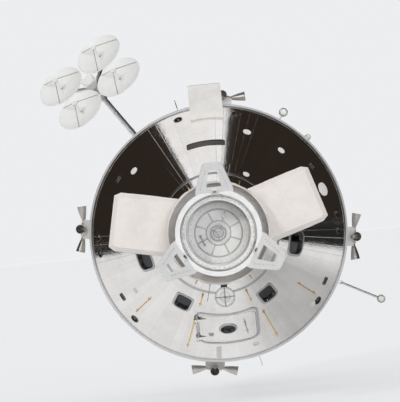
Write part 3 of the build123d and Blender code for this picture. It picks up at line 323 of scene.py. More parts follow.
class Graph:
    """A node tree with short calls for the nodes that these materials use."""

    def __init__(self, tree):
        self.tree = tree

    def add(self, kind, inputs=(), **settings):
        node = self.tree.nodes.new(kind)
        for name, value in settings.items():
            setattr(node, name, value)
        for key, value in dict(inputs).items():
            self.feed(node.inputs[key], value)
        return node

    def feed(self, socket, value):
        if isinstance(value, bpy.types.NodeSocket):
            self.tree.links.new(value, socket)
        else:
            socket.default_value = value

    def math(self, operation, *values):
        return self.add("ShaderNodeMath", enumerate(values), operation=operation).outputs[0]

    def plus(self, base, value, share):
        """A base and a share of a value on top."""
        return self.math("ADD", base, self.math("MULTIPLY", value, share))

    def span(self, value, low, high):
        """From 0 at the low value to 1 at the high one."""
        inputs = {"Value": value, "From Min": low, "From Max": high}
        return self.add("ShaderNodeMapRange", inputs).outputs[0]

    def axes(self, vector):
        return self.add("ShaderNodeSeparateXYZ", {0: vector}).outputs

    def ramp(self, value, stops):
        node = self.add("ShaderNodeValToRGB", {"Fac": value})
        elements = node.color_ramp.elements
        while len(elements) < len(stops):
            elements.new(0.5)
        for element, (position, colour) in zip(elements, stops):
            element.position = position
            element.color = (*colour, 1)
        return node.outputs["Color"]

    def mix(self, factor, first, second):
        node = self.add("ShaderNodeMix", data_type="RGBA")
        for key, value in ((0, factor), (6, first), (7, second)):
            if isinstance(value, tuple) and len(value) == 3:
                value = (*value, 1)
            self.feed(node.inputs[key], value)
        return node.outputs[2]

    def noise(self, vector, scale, detail=4, roughness=0.5):
        inputs = {"Vector": vector, "Scale": scale, "Detail": detail, "Roughness": roughness}
        return self.add("ShaderNodeTexNoise", inputs).outputs["Fac"]

    def use(self, group, **inputs):
        return self.add("ShaderNodeGroup", inputs, node_tree=GROUPS[group]).outputs


class Finish(Graph):
    """A material with its Principled shader, given plain values by socket name."""

    def __init__(self, name, **plain):
        self.material = bpy.data.materials.new(name)
        self.material.use_nodes = True
        super().__init__(self.material.node_tree)
        self.shader = self.tree.nodes["Principled BSDF"]
        for key, value in plain.items():
            self.shader.inputs[key.replace("_", " ")].default_value = value
        self.where = self.add("ShaderNodeTexCoord").outputs["Object"]

    def give(self, **values):
        for key, value in values.items():
            self.feed(self.shader.inputs[key.replace("_", " ")], value)

    def stretched(self, *scale):
        return self.add("ShaderNodeMapping", {"Vector": self.where, "Scale": scale}).outputs[0]

    def soil(self, colour, stain, scale, amount):
        """The colour with dust over it. Returns the dust's mask."""
        mask = self.use("dust", Vector=self.where, Scale=scale, Amount=amount)["Mask"]
        self.give(Base_Color=self.mix(mask, colour, stain))
        return mask

    def bump(self, height, strength, distance):
        inputs = {"Height": height, "Strength": strength, "Distance": distance}
        self.give(Normal=self.add("ShaderNodeBump", inputs).outputs["Normal"])


def new_group(name, numbers, results):
    """A node group that takes a vector and numbers, with their usual values, and puts out numbers."""
    tree = bpy.data.node_groups.new(name, "ShaderNodeTree")
    sockets = tree.interface
    sockets.new_socket("Vector", in_out="INPUT", socket_type="NodeSocketVector")
    for label, value in numbers.items():
        sockets.new_socket(label, in_out="INPUT", socket_type="NodeSocketFloat").default_value = value
    for label in results:
        sockets.new_socket(label, in_out="OUTPUT", socket_type="NodeSocketFloat")
    graph = Graph(tree)
    return graph, graph.add("NodeGroupInput").outputs, graph.add("NodeGroupOutput").inputs


def crease_group():
    """Creased film: flat facets that meet in soft folds, with finer wrinkles."""
    g, given, out = new_group("creased film", {"Size": 10.0, "Folds": 0.5}, ("Height", "Shade"))
    spot, size = given["Vector"], given["Size"]
    bend = g.add("ShaderNodeTexNoise", {"Vector": spot, "Scale": size, "Detail": 2.0})
    moved = g.add("ShaderNodeVectorMath", {0: spot, 1: bend.outputs["Color"]}, operation="ADD").outputs[0]
    cells = g.add("ShaderNodeTexVoronoi", {"Vector": moved, "Scale": size}, feature="F1")
    fine = g.noise(spot, g.math("MULTIPLY", size, 5.0), 3)
    folded = g.math("MULTIPLY", cells.outputs["Distance"], given["Folds"])
    g.feed(out["Height"], g.plus(folded, fine, 0.25))
    g.feed(out["Shade"], g.noise(moved, size, 2))
    return g.tree


def dust_group():
    """Uneven film of dust and stain: a mask from 0 to 1."""
    g, given, out = new_group("uneven dust", {"Scale": 2.0, "Amount": 0.5}, ("Mask",))
    broad = g.noise(given["Vector"], given["Scale"], 5, 0.6)
    fine = g.noise(given["Vector"], g.math("MULTIPLY", given["Scale"], 9.0), 3, 0.7)
    both = g.plus(g.math("MULTIPLY", broad, 0.7), fine, 0.3)
    g.feed(out["Mask"], g.math("MULTIPLY", g.span(both, 0.42, 0.68), given["Amount"]))
    return g.tree


def strips_group():
    """Tape laid up the cone in strips: each has its own slight tilt, with a lap at its edge."""
    g, given, out = new_group("laid tape", {"Count": 72.0}, ("Height", "Shade"))
    axes = g.axes(given["Vector"])
    angle = g.math("ARCTAN2", axes["Z"], axes["X"])
    along = g.math("MULTIPLY", g.math("DIVIDE", angle, 2 * math.pi), given["Count"])
    strip = g.math("FLOOR", along)
    inside = g.math("SUBTRACT", along, strip)
    pick = g.add("ShaderNodeTexWhiteNoise", {"W": strip}, noise_dimensions="1D").outputs["Value"]
    tilt = g.math("SUBTRACT", pick, 0.5)
    lap = g.math("SMOOTH_MIN", g.math("MULTIPLY", inside, 30.0), 1.0, 0.3)
    g.feed(out["Height"], g.plus(g.math("MULTIPLY", tilt, inside), lap, 0.25))
    g.feed(out["Shade"], pick)
    return g.tree


GROUPS = {"crease": crease_group(), "dust": dust_group(), "strips": strips_group()}


def darker(colour, share):
    return tuple(channel * share for channel in colour)


def tape(name, tint, stain, count, size, folds, rough, metal=1.0):
    """Silvered film tape: a mirror broken by strips, laps and creases."""
    m = Finish(name, Metallic=metal)
    strips = m.use("strips", Vector=m.where, Count=count)
    crease = m.use("crease", Vector=m.where, Size=size, Folds=folds)
    dust = m.soil(m.mix(strips["Shade"], tint, darker(tint, 0.93)), stain, 1.3, 0.35)
    m.give(Roughness=m.plus(rough, dust, 0.25))
    m.bump(m.plus(strips["Height"], crease["Height"], 0.6), 0.35, 0.004)
    return m.material


def paint(name, colour, stain, rough, amount, scale=2.0, metal=0.0, ripple=0.0):
    """Paint on panels, with dust, faint stains and a little ripple."""
    m = Finish(name, Metallic=metal)
    run = m.noise(m.stretched(6.0, 0.7, 6.0), 3.0, 4, 0.6)
    toned = m.mix(m.math("MULTIPLY", run, 0.3), colour, darker(colour, 0.86))
    m.give(Roughness=m.plus(rough, m.soil(toned, stain, scale, amount), 0.2))
    wave = m.math("MULTIPLY", m.noise(m.where, 5.0, 2), ripple)
    m.bump(m.plus(wave, m.noise(m.where, 160.0, 2), 0.05), 0.3, 0.003)
    return m.material


def metal(name, colour, stain, rough, amount=0.4):
    """Machined or drawn metal, with a grain and tarnish."""
    m = Finish(name, Metallic=1.0)
    brushed = m.noise(m.stretched(90.0, 90.0, 6.0), 4.0, 4, 0.6)
    m.soil(colour, stain, 6.0, amount)
    m.give(Roughness=m.plus(rough, brushed, 0.14))
    m.bump(brushed, 0.15, 0.001)
    return m.material


def cloth(name, colour):
    m = Finish(name, Roughness=0.85, Sheen_Weight=0.3)
    weave = m.add("ShaderNodeTexWave", {"Vector": m.where, "Scale": 260.0, "Distortion": 1.5})
    m.soil(colour, darker(colour, 0.7), 5.0, 0.5)
    m.bump(weave.outputs["Fac"], 0.3, 0.001)
    return m.material


def glass(name, colour, clear, rough, bend):
    """Glass with a faint smear, as clear as given."""
    m = Finish(name, Base_Color=(*colour, 1), Transmission_Weight=clear, IOR=bend)
    m.give(Roughness=m.plus(rough, m.noise(m.where, 14.0, 3), 0.06))
    return m.material


def bell_finish(name, stops):
    """Nozzle alloy, tinted by heat in bands from its joint to its lip."""
    m = Finish(name, Metallic=1.0)
    from_joint = m.math("SUBTRACT", m.axes(m.where)["Y"], -ENGINE_JOINT)
    along = m.math("DIVIDE", m.plus(from_joint, m.noise(m.where, 1.5, 3), 0.5), BELL_LENGTH)
    turned = m.noise(m.stretched(0.4, 45.0, 0.4), 3.0, 3)
    m.soil(m.ramp(along, stops), (0.16, 0.14, 0.13), 3.0, 0.5)
    m.give(Roughness=m.plus(0.3, turned, 0.2))
    m.bump(turned, 0.2, 0.002)
    return m.material


def stitched_film(name, colour, stain, pitch):
    """Silvered blanket: puffed squares between rows of stitching, with wrinkles and painted shade where the
    squares dip to the stitching.
    """
    m = Finish(name, Metallic=0.85)
    axes = m.axes(m.where)
    angle = m.math("ARCTAN2", axes["Z"], axes["X"])
    columns = m.math("PINGPONG", m.math("MULTIPLY", angle, DOCK_RADIUS), pitch / 2)
    rows = m.math("PINGPONG", axes["Y"], pitch / 2)
    puff = m.math("MULTIPLY", m.math("POWER", columns, 0.5), m.math("POWER", rows, 0.5))
    crease = m.use("crease", Vector=m.where, Size=14.0, Folds=0.6)
    # Painted shade: the colour darkens towards the stitched rows, where the squares dip
    painted_dip_shade = m.mix(m.span(puff, 0.0, pitch * 0.16), darker(colour, 0.72), colour)
    m.soil(painted_dip_shade, stain, 3.0, 0.4)
    m.give(Roughness=m.plus(0.28, crease["Shade"], 0.15))
    m.bump(m.plus(m.math("MULTIPLY", puff, 5.0), crease["Height"], 0.5), 0.5, 0.02)
    return m.material


def wrinkled_cloth(name, colour, stain):
    """Blanket cloth, creased all over, with patches of dust and painted shade that follows its creases."""
    m = Finish(name, Sheen_Weight=0.15)
    crease = m.use("crease", Vector=m.where, Size=9.0, Folds=0.8)
    # Painted shade: a little darker where the creases' shade is high
    toned = m.mix(m.math("MULTIPLY", crease["Shade"], 0.5), colour, darker(colour, 0.86))
    m.soil(toned, stain, 2.5, 0.5)
    m.give(Roughness=m.plus(0.5, crease["Shade"], 0.15))
    m.bump(crease["Height"], 0.5, 0.012)
    return m.material


# Tint, stain, strips round the craft, crease size, folds, roughness and metal share
TAPES = {
    "cone tape": ((0.90, 0.88, 0.85), (0.62, 0.58, 0.52), 88.0, 9.0, 0.55, 0.07),
    "shield tape": ((0.90, 0.89, 0.87), (0.70, 0.67, 0.62), 60.0, 12.0, 0.7, 0.4, 0.3),
    "hatch tape": ((0.88, 0.86, 0.83), (0.60, 0.56, 0.50), 88.0, 16.0, 0.6, 0.1),
}
# Colour, stain, roughness, dust, size of its patches, metal share and ripple
PAINTS = {
    "bay paint": ((0.70, 0.71, 0.72), (0.52, 0.51, 0.49), 0.36, 0.5, 1.2, 0.4, 0.4),
    "fairing paint": ((0.72, 0.72, 0.72), (0.52, 0.51, 0.49), 0.4, 0.4, 2.0, 0.3, 0.2),
    "radiator paint": ((0.87, 0.87, 0.85), (0.70, 0.68, 0.63), 0.5, 0.35, 1.5),
    "quad paint": ((0.80, 0.80, 0.78), (0.50, 0.46, 0.41), 0.45, 0.6, 6.0),
    "cover paint": ((0.88, 0.83, 0.79), (0.66, 0.61, 0.56), 0.5, 0.45, 2.5, 0.0, 0.5),
    "umbilical paint": ((0.86, 0.84, 0.80), (0.62, 0.58, 0.52), 0.45, 0.5, 3.0),
    "dish paint": ((0.90, 0.90, 0.88), (0.74, 0.72, 0.68), 0.42, 0.3, 5.0),
    "cabin paint": ((0.36, 0.38, 0.37), (0.22, 0.22, 0.21), 0.6, 0.5, 8.0),
    "black paint": ((0.045, 0.045, 0.048), (0.14, 0.13, 0.12), 0.6, 0.5, 8.0),
    "collar finish": ((0.87, 0.87, 0.86), (0.64, 0.63, 0.61), 0.46, 0.35, 6.0, 0.15),
    "forward hatch paint": ((0.92, 0.92, 0.90), (0.66, 0.64, 0.60), 0.42, 0.3, 7.0),
    "seal rubber": ((0.055, 0.052, 0.05), (0.12, 0.11, 0.10), 0.7, 0.4, 12.0),
    "target white": ((0.82, 0.82, 0.80), (0.62, 0.61, 0.58), 0.6, 0.3, 14.0),
}
# Colour, tarnish, roughness and how much tarnish
METALS = {
    "drawn aluminium": ((0.74, 0.74, 0.75), (0.52, 0.51, 0.49), 0.28),
    "dark steel": ((0.22, 0.21, 0.20), (0.10, 0.09, 0.08), 0.38),
    "jet metal": ((0.66, 0.64, 0.61), (0.36, 0.32, 0.28), 0.36),
    "engine shroud": ((0.63, 0.61, 0.58), (0.38, 0.34, 0.29), 0.26, 0.7),
    "gilded rail": ((0.83, 0.62, 0.28), (0.60, 0.42, 0.20), 0.25),
    "screw steel": ((0.52, 0.51, 0.50), (0.30, 0.28, 0.26), 0.34),
    "frame alloy": ((0.56, 0.56, 0.57), (0.34, 0.33, 0.32), 0.32),
}
# Colour
CLOTHS = {"couch cloth": ((0.62, 0.60, 0.54),), "woven strap": ((0.70, 0.67, 0.62),)}
# Colour, clearness, roughness and refraction
GLASSES = {
    "coated pane": ((0.50, 0.54, 0.56), 1.0, 0.0, 1.3),
    "lamp glass": ((0.88, 0.87, 0.80), 0.0, 0.12, 1.5),
}
# Share of the way from the joint to the lip, and the tint there
BELL_TINTS = (
    (0.0, (0.21, 0.18, 0.16)),
    (0.22, (0.30, 0.24, 0.19)),
    (0.42, (0.24, 0.23, 0.26)),
    (0.58, (0.34, 0.31, 0.28)),
    (1.0, (0.47, 0.45, 0.43)),
)
# What makes each kind of finish, and its table
FINISHES = (
    (tape, TAPES),
    (paint, PAINTS),
    (metal, METALS),
    (cloth, CLOTHS),
    (glass, GLASSES),
    (bell_finish, {"heat tinted bell": (BELL_TINTS,)}),
    (stitched_film, {"aft blanket": ((0.78, 0.75, 0.70), (0.50, 0.46, 0.40), 0.16)}),
    (wrinkled_cloth, {"blanket cloth": ((0.82, 0.79, 0.76), (0.58, 0.54, 0.50))}),
)
MATERIALS = {name: make(name, *row) for make, table in FINISHES for name, row in table.items()}


def by_item(groups):
    """Turn groups of names round: the group of each name."""
    return {item: group for group, items in groups.items() for item in items.split()}


# The nodes of each finish. The other nodes are thruster quads and bays.
NODE_FINISHES = by_item({
    "drawn aluminium": """service_module_core docking_tunnel attenuator_struts boom_bracket antenna_boom
        antenna_yoke dish_frame pole_bracket floodlight_pole floodlight scimitar_antennas
        docking_spotlight""",
    "radiator paint": "cabin_radiator_left cabin_radiator_right power_radiators",
    "fairing paint": "module_fairing",
    "engine shroud": "engine_heat_shield",
    "dark steel": "engine_gimbal_ring engine_chamber",
    "heat tinted bell": "engine_bell",
    "jet metal": "thruster_bells",
    "shield tape": "aft_heat_shield",
    "cone tape": "crew_cone forward_heat_shield",
    "hatch tape": "side_hatch",
    "coated pane": "window_panes hatch_pane",
    "cabin paint": "cabin_floor instrument_panel",
    "couch cloth": "crew_couches",
    "umbilical paint": "umbilical_cover",
    "blanket cloth": "docking_adapter_cone docking_module_hull",
    "collar finish": "docking_collar guide_ring",
    "forward hatch paint": "docking_module_hatch",
    "cover paint": "tank_cover_left tank_cover_right",
    "black paint": "docking_target",
    "dish paint": "dish_reflectors dish_horn",
    "lamp glass": "flashing_beacon",
})
for name, node in nodes.items():
    other = "quad paint" if name.startswith("thruster_quad") else "bay paint"
    node.data.materials.clear()
    node.data.materials.append(MATERIALS[NODE_FINISHES.get(name, other)])


# Mesh work


def fill_holes(part):
    bmesh.ops.holes_fill(part, edges=[edge for edge in part.edges if edge.is_boundary], sides=0)


def spun(outline, steps, angle=360):
    """A mesh turned round Z from an outline of radius and height."""
    part = bmesh.new()
    verts = [part.verts.new((radius, 0, height)) for radius, height in outline]
    edges = [part.edges.new(pair) for pair in zip(verts, verts[1:] + verts[:1])]
    bmesh.ops.spin(
        part,
        geom=verts + edges,
        cent=(0, 0, 0),
        axis=(0, 0, 1),
        angle=math.radians(angle),
        steps=steps,
        use_merge=angle == 360,
    )
    if angle != 360:
        fill_holes(part)
    return part


def puffed_sheet(columns, rows, shape, back):
    """A closed pad: a grid whose points go where the shape puts them, walled down to a flat back."""
    part = bmesh.new()
    bmesh.ops.create_grid(part, x_segments=columns, y_segments=rows, size=0.5)
    for vert in part.verts:
        vert.co = shape(vert.co.x + 0.5, vert.co.y + 0.5)
    sides = [edge for edge in part.edges if edge.is_boundary]
    for made in bmesh.ops.extrude_edge_only(part, edges=sides)["geom"]:
        if isinstance(made, bmesh.types.BMVert):
            made.co.z = back
    fill_holes(part)
    return part


class Work:
    """Mesh work in the craft's own axes. Its finish lays it down, and it rides on its body."""

    def __init__(self):
        self.mesh = bmesh.new()

    def block(self, at, size, ease=0.0015):
        """A block standing on a place, its edges eased."""
        shape = at @ move(0, 0, size[2] / 2) @ Matrix.Diagonal((*size, 1))
        made = bmesh.ops.create_cube(self.mesh, size=1, matrix=shape)["verts"]
        edges = list({edge for vert in made for edge in vert.link_edges})
        bmesh.ops.bevel(
            self.mesh, geom=edges, offset=ease, affect="EDGES", segments=2, profile=0.5, material=-1
        )

    def stud(self, at, radius, height, top=None, sides=16):
        """A round boss standing on a place."""
        bmesh.ops.create_cone(
            self.mesh,
            cap_ends=True,
            segments=sides,
            radius1=radius,
            radius2=radius if top is None else top,
            depth=height,
            matrix=at @ move(0, 0, height / 2),
        )

    def screws(self, spot, points, radius=0.007, height=0.003):
        """Low round heads at points of a surface."""
        for x, y in points:
            self.stud(spot(x, y), radius, height, top=radius * 0.6, sides=8)

    def rod(self, start, end, radius, sides=12):
        run = end - start
        self.stud(Matrix.Translation(start) @ facing(run), radius, run.length, sides=sides)

    def handle(self, at, length, rise, radius):
        """A bowed grip along the place's Y, on two feet."""
        half = length / 2
        bow = ((-half, 0), (-half, 0.8 * rise), (0.01 - half, rise))
        route = list(bow) + [(-y, z) for y, z in reversed(bow)]
        self.tube([at @ Vector((0, y, z)) for y, z in route], radius)
        for y in (-half, half):
            self.stud(at @ move(0, y, -0.002), 2.4 * radius, 0.008, top=2 * radius)

    def rail(self, foot, head, bend, rise, radius):
        """A handrail from one seat to another, bent down to both."""
        bow = ((0, 0), (0.01, rise), (bend, rise))
        route = [foot @ Vector((0, y, z)) for y, z in bow]
        route += [head @ Vector((0, -y, z)) for y, z in reversed(bow)]
        self.tube(route, radius, 4)

    def lathe(self, at, outline, steps=64, angle=360):
        """An outline of radius and height turned round the place's own Z."""
        self.join(spun(outline, steps, angle), at)

    def hoop(self, at, radius, thickness, steps=64, sides=8, angle=360):
        """A round bar bent to a hoop, or to part of one."""
        turns = [2 * math.pi * n / sides for n in range(sides)]
        outline = [(radius + thickness * math.cos(t), thickness * math.sin(t)) for t in turns]
        self.lathe(at, outline, steps, angle)

    def cap(self, at, radius):
        """A round cover with an eased edge."""
        edge = [(radius, -0.004), (radius, 0.006), (radius - 0.012, 0.010)]
        self.lathe(at, edge + [(0.0005, 0.010), (0.0005, -0.004)], 32)

    def plate(self, spot, width, length, height, corner=0.0, rim=0.0, cuts=1):
        """A plate with round corners, cut flat and bent onto its surface. A rim leaves only its frame."""
        part = bmesh.new()
        size = Matrix.Diagonal((width, length, 1, 1))
        bmesh.ops.create_grid(part, x_segments=1, y_segments=1, size=0.5, matrix=size)
        if corner:
            points = part.verts[:]
            bmesh.ops.bevel(
                part, geom=points, offset=corner, affect="VERTICES", segments=4, profile=0.5, material=-1
            )
        if rim:
            middle = part.faces[:]
            bmesh.ops.inset_region(
                part, faces=middle, thickness=rim, use_boundary=True, use_even_offset=True
            )
            bmesh.ops.delete(part, geom=middle, context="FACES_ONLY")
        for n in range(1, cuts):
            bmesh.ops.bisect_plane(
                part,
                geom=part.verts[:] + part.edges[:] + part.faces[:],
                plane_co=(width * (n / cuts - 0.5), 0, 0),
                plane_no=(1, 0, 0),
            )
        raised = bmesh.ops.extrude_face_region(part, geom=part.faces[:], use_keep_orig=True)["geom"]
        tops = [vert for vert in raised if isinstance(vert, bmesh.types.BMVert)]
        bmesh.ops.translate(part, verts=tops, vec=(0, 0, height))
        for vert in part.verts:
            vert.co = spot(vert.co.x, vert.co.y) @ Vector((0, 0, vert.co.z))
        self.join(part)

    def tube(self, points, radius, resolution=3):
        """A bent tube along a smooth line."""
        curve = bpy.data.curves.new("tube line", "CURVE")
        curve.dimensions = "3D"
        curve.bevel_depth = radius
        curve.bevel_resolution = resolution
        curve.use_fill_caps = True
        spline = curve.splines.new("NURBS")
        spline.points.add(len(points) - 1)
        for point, spot in zip(spline.points, points):
            point.co = (*spot, 1)
        spline.order_u = 3
        spline.use_endpoint_u = True
        spline.resolution_u = 5
        holder = bpy.data.objects.new("tube line", curve)
        bent = bpy.data.meshes.new_from_object(holder)
        part = bmesh.new()
        part.from_mesh(bent)
        bmesh.ops.remove_doubles(part, verts=part.verts, dist=1e-5)
        self.join(part)
        bpy.data.meshes.remove(bent)
        bpy.data.objects.remove(holder)
        bpy.data.curves.remove(curve)

    def join(self, part, at=Matrix()):
        """Take in a mesh that was shaped apart."""
        bmesh.ops.transform(part, matrix=at, verts=part.verts)
        loose = bpy.data.meshes.new("loose work")
        part.to_mesh(loose)
        part.free()
        self.mesh.from_mesh(loose)
        bpy.data.meshes.remove(loose)

    def finish(self, name, body, finish, smooth=35):
        bmesh.ops.recalc_face_normals(self.mesh, faces=self.mesh.faces)
        mesh = bpy.data.meshes.new(name)
        self.mesh.to_mesh(mesh)
        self.mesh.free()
        mesh.transform(LAY_DOWN)
        mesh.shade_smooth()
        mesh.set_sharp_from_angle(angle=math.radians(smooth))
        mesh.materials.append(MATERIALS[finish])
        piece = put(name, mesh)
        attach(piece, body)
        return piece


def put(name, data):
    """A new object in the scene."""
    made = bpy.data.objects.new(name, data)
    bpy.context.collection.objects.link(made)
    return made


# Service module


def bay_edges():
    """Thin doublers along both edges of each bay seam and round both ends, under the screws."""
    work = Work()
    whole, split = ((BAYS_LOW, BAYS_HIGH),), ((BAYS_LOW, 0.375), (1.585, BAYS_HIGH))
    for seam, _ in BAYS:
        for side in (-SEAM_SIDE, SEAM_SIDE):
            for low, high in split if covered(seam, 1.0) else whole:
                spot = on_hull(seam + side, (low + high) / 2)
                work.plate(spot, 0.046, high - low, DOUBLER, 0.008)
    for station, start, sweep in ((0.085, 0, 360), (3.865, 98.5, 343), (3.965, 98.5, 343)):
        outline = band(HULL_RADIUS - 0.001, HULL_RADIUS + DOUBLER, 0.024)
        work.lathe(move(0, 0, station) @ turn("Z", start), outline, 180, sweep)
    work.finish("bay_edges", "craft", "frame alloy")


def bay_screws():
    """Screw heads along both edges of each bay seam, and round both ends of the hull."""
    work = Work()
    rows = [0.11 + row * 0.125 for row in range(31)]
    spots = [(seam + side, row) for seam, _ in BAYS for row in rows for side in (-SEAM_SIDE, SEAM_SIDE)]
    spots += [(angle, station) for angle in spread(120) for station in (0.085, 3.865)]
    spots = [spot for spot in spots if not covered(*spot)]
    spots += [(angle, station) for angle in spread(120) for station in (3.965, 4.465)]
    for spot in spots:
        work.screws(on_hull(*spot), [(0, 0)])
    work.finish("bay_screws", "craft", "screw steel")


def access_doors():
    """Doors screwed over openings of the bays, and round caps over the fill valves."""
    doors, screws = Work(), Work()
    for angle, station, width, length in ACCESS_DOORS:
        spot = on_hull(angle, station)
        doors.plate(spot, width, length, 0.003, 0.03, cuts=6)
        doors.plate(spot, width, length, 0.0055, 0.03, rim=0.012, cuts=6)
        spot = on_hull(angle, station, HULL_RADIUS + 0.003)
        screws.screws(spot, border(width, length, 0.025, 0.07), 0.0055, 0.0025)
    for angle, station, radius in FILL_CAPS:
        doors.cap(seat(angle, HULL_RADIUS, station), radius)
        spot = seat(angle, HULL_RADIUS + 0.010, station)
        screws.block(spot, (radius * 1.1, 0.010, 0.008))
        screws.screws(on_plane(spot), ring_points(6, radius * 0.7), 0.004)
    doors.finish("access_doors", "craft", "bay paint")
    screws.finish("access_door_screws", "craft", "screw steel")


def radiator_tubes():
    """Coolant tubes that show as low ridges under the skins of the radiators."""
    tubes, screws = Work(), Work()
    ridge = [(RADIATOR_FACE + rise, along) for rise, along in RIDGE]
    # Middle angles, half sweep of the tubes, first tube, pitch and count; then the plate's sweep,
    # station and length, and the pitch of its screws
    for middles, half, first, pitch, count, sweep, station, length, screw_pitch in (
        (CABIN_RADIATORS, 56, 0.475, 0.112, 10, 116, 0.98, 1.12, 0.09),
        (spread(8, 22.5), 14, 4.085, 0.13, 3, 30, 4.215, 0.44, 0.08),
    ):
        for middle in middles:
            for row in range(count):
                start = move(0, 0, first + row * pitch) @ turn("Z", middle - half)
                tubes.lathe(start, ridge, half, 2 * half)
            edge = border(math.radians(sweep) * RADIATOR_FACE, length, 0.014, screw_pitch)
            screws.screws(on_hull(middle, station, RADIATOR_FACE), edge, 0.005, 0.002)
    tubes.finish("radiator_tubes", "craft", "radiator paint")
    screws.finish("radiator_screws", "craft", "screw steel")


def thruster_fittings():
    """Valves, cap, lines and bell lips of the four thruster housings, and the screws of their doors."""
    valves, screws, lips = Work(), Work(), Work()
    for angle in QUAD_ANGLES:
        quad = seat(angle, HULL_RADIUS - QUAD_SINK, QUAD_STATION)
        top = quad @ move(0, 0, QUAD_TOP)
        valves.stud(top, 0.052, 0.006, top=0.046, sides=24)
        for x, y in corners(VALVE_OFFSET):
            valves.block(top @ move(x, y, -0.002), (0.046, 0.046, 0.030), 0.005)
            valves.stud(top @ move(x, y, 0.028), 0.013, 0.014, top=0.010)
            route = ((x, y, 0.034), (x * 0.6, y * 0.9, 0.036), (x * 0.35, y * 0.5, 0.004))
            valves.tube([top @ Vector(p) for p in route], 0.004)
        screws.screws(on_plane(top @ move(0, 0, 0.004)), ring_points(6, 0.038), 0.004)
        door = on_hull(angle, QUAD_STATION, QUAD_DOOR_FACE)
        screws.screws(door, border(*QUAD_DOOR, 0.03, 0.085), 0.007, 0.003)
        for side in (-1, 1):
            wall = on_plane(quad @ turn("Y", side * 90) @ move(0, 0, QUAD_TOP))
            screws.screws(wall, [(-side * 0.035, y * 0.055) for y in range(-4, 5)], 0.005)
        for quarter in spread(4):
            jet = quad @ turn("Z", quarter) @ move(0, 0.124, 0.155) @ turn("X", -JET_ANGLE)
            lips.hoop(jet @ move(0, 0, 0.230), 0.0685, 0.0045, 32)
            lips.lathe(jet, [(0.019, 0.004), (0.030, 0.002), (0.032, 0.016), (0.026, 0.020)], 24)
    valves.finish("thruster_valves", "craft", "jet metal")
    screws.finish("thruster_screws", "craft", "screw steel")
    lips.finish("thruster_lips", "craft", "jet metal")


def aft_blankets():
    """Quilted blankets in the six bays of the aft bulkhead."""
    work = Work()
    inner, depth = 1.31, 0.515
    for start, span in BAYS:
        low, high = math.radians(start + 1.9), math.radians(start + span - 1.9)

        def quilt(x, y):
            radius = inner + y * depth
            a = low + x * (high - low)
            fall = min(min(x, 1 - x) * (high - low) * radius, min(y, 1 - y) * depth)
            crown = min(1.0, fall / 0.05) ** 0.5
            puff = abs(math.sin(radius * 24) * math.sin(a * 34)) ** 0.6
            return around(math.degrees(a), radius, 0.020 - crown * (0.014 + 0.016 * puff))

        work.join(puffed_sheet(round(span * 0.7), 18, quilt, 0.024))
    piece = work.finish("aft_blankets", "craft", "aft blanket", 60)


def engine_fittings():
    """Flange bolts, fuel ring and supply lines of the engine, which swing with it."""
    bolts, lines = Work(), Work()
    for angle in spread(36):
        down = Matrix.Translation(around(angle, ENGINE_BOLTS, ENGINE_JOINT - 0.0203)) @ turn("X", 180)
        bolts.stud(down, 0.011, 0.008, sides=6)
        bolts.stud(down @ move(0, 0, 0.008), 0.006, 0.006, sides=8)
        up = Matrix.Translation(around(angle, ENGINE_BOLTS, ENGINE_JOINT + 0.020))
        bolts.stud(up, 0.011, 0.008, sides=6)
    bolts.finish("engine_bolts", "engine", "screw steel")

    lines.hoop(move(0, 0, FUEL_RING), 0.362, 0.024, 72, 12)
    for angle in spread(12, 15):
        lines.block(seat(angle, 0.330, FUEL_RING), (0.034, 0.060, 0.060), 0.004)
    # Radius and station
    route = ((0.366, FUEL_RING), (0.372, -0.12), (0.300, -0.02))
    route += ((0.268, 0.10), (0.262, 0.30), (0.248, 0.44))
    for angle in (35, 215):
        lines.tube([around(angle, *point) for point in route], 0.017, 4)
        lines.tube([around(angle + 12, *point) for point in route], 0.008)
    lines.finish("engine_lines", "engine", "jet metal")


# Crew module


def window_frames():
    """Metal frames round the four windows and the side hatch, and black gaskets inside them."""
    frames, gaskets, screws = Work(), Work(), Work()
    for offset, station, width, length, corner in WINDOWS:
        angle = HATCH_ANGLE + offset
        wide, long = width + 0.08, length + 0.08
        frames.plate(on_cone(angle, station), wide, long, 0.007, corner + 0.03, rim=0.034, cuts=8)
        spot = on_cone(angle, station)
        gaskets.plate(spot, width + 0.012, length + 0.012, 0.009, corner, rim=0.010, cuts=8)
        screws.screws(on_cone(angle, station, 0.006), border(wide, long, 0.018, 0.05), 0.005, 0.0025)
    frames.plate(on_cone(HATCH_ANGLE, HATCH_STATION), *HATCH_FRAME, 0.006, 0.15, rim=0.040, cuts=12)
    hinges = [(-0.43, side * 0.25) for side in (-1, 1)]
    clear = [
        (x, y)
        for x, y in border(*HATCH_FRAME, 0.020, 0.07)
        if all(x > hinge_x or abs(y - hinge_y) > 0.09 for hinge_x, hinge_y in hinges)
    ]
    screws.screws(on_cone(HATCH_ANGLE, HATCH_STATION, 0.005), clear, 0.005, 0.0025)
    frames.finish("window_frames", "craft", "frame alloy")
    gaskets.finish("window_gaskets", "craft", "seal rubber")
    screws.finish("window_screws", "craft", "screw steel")


def hatch_fittings():
    """What swings with the side hatch: pane ring, edge screws, handle and vent valve."""
    work = Work()
    spot = on_cone(HATCH_ANGLE, HATCH_STATION)
    centre = spot(0, 0)
    ring = [(0.112, 0.002), (0.112, 0.013), (0.130, 0.013), (0.138, 0.004), (0.138, -0.006)]
    work.lathe(centre, ring, 48)
    work.screws(on_plane(centre @ move(0, 0, 0.0125)), ring_points(14, 0.121), 0.004)
    work.handle(spot(0.27, -0.02), 0.24, 0.062, 0.009)
    valve = spot(-0.26, -0.16)
    work.stud(valve, 0.042, 0.012, top=0.038, sides=24)
    work.stud(valve @ move(0, 0, 0.012), 0.016, 0.014, sides=6)
    work.screws(spot, border(*HATCH_SIZE, 0.022, 0.06), 0.0055, 0.003)
    work.finish("hatch_fittings", "hatch", "frame alloy")


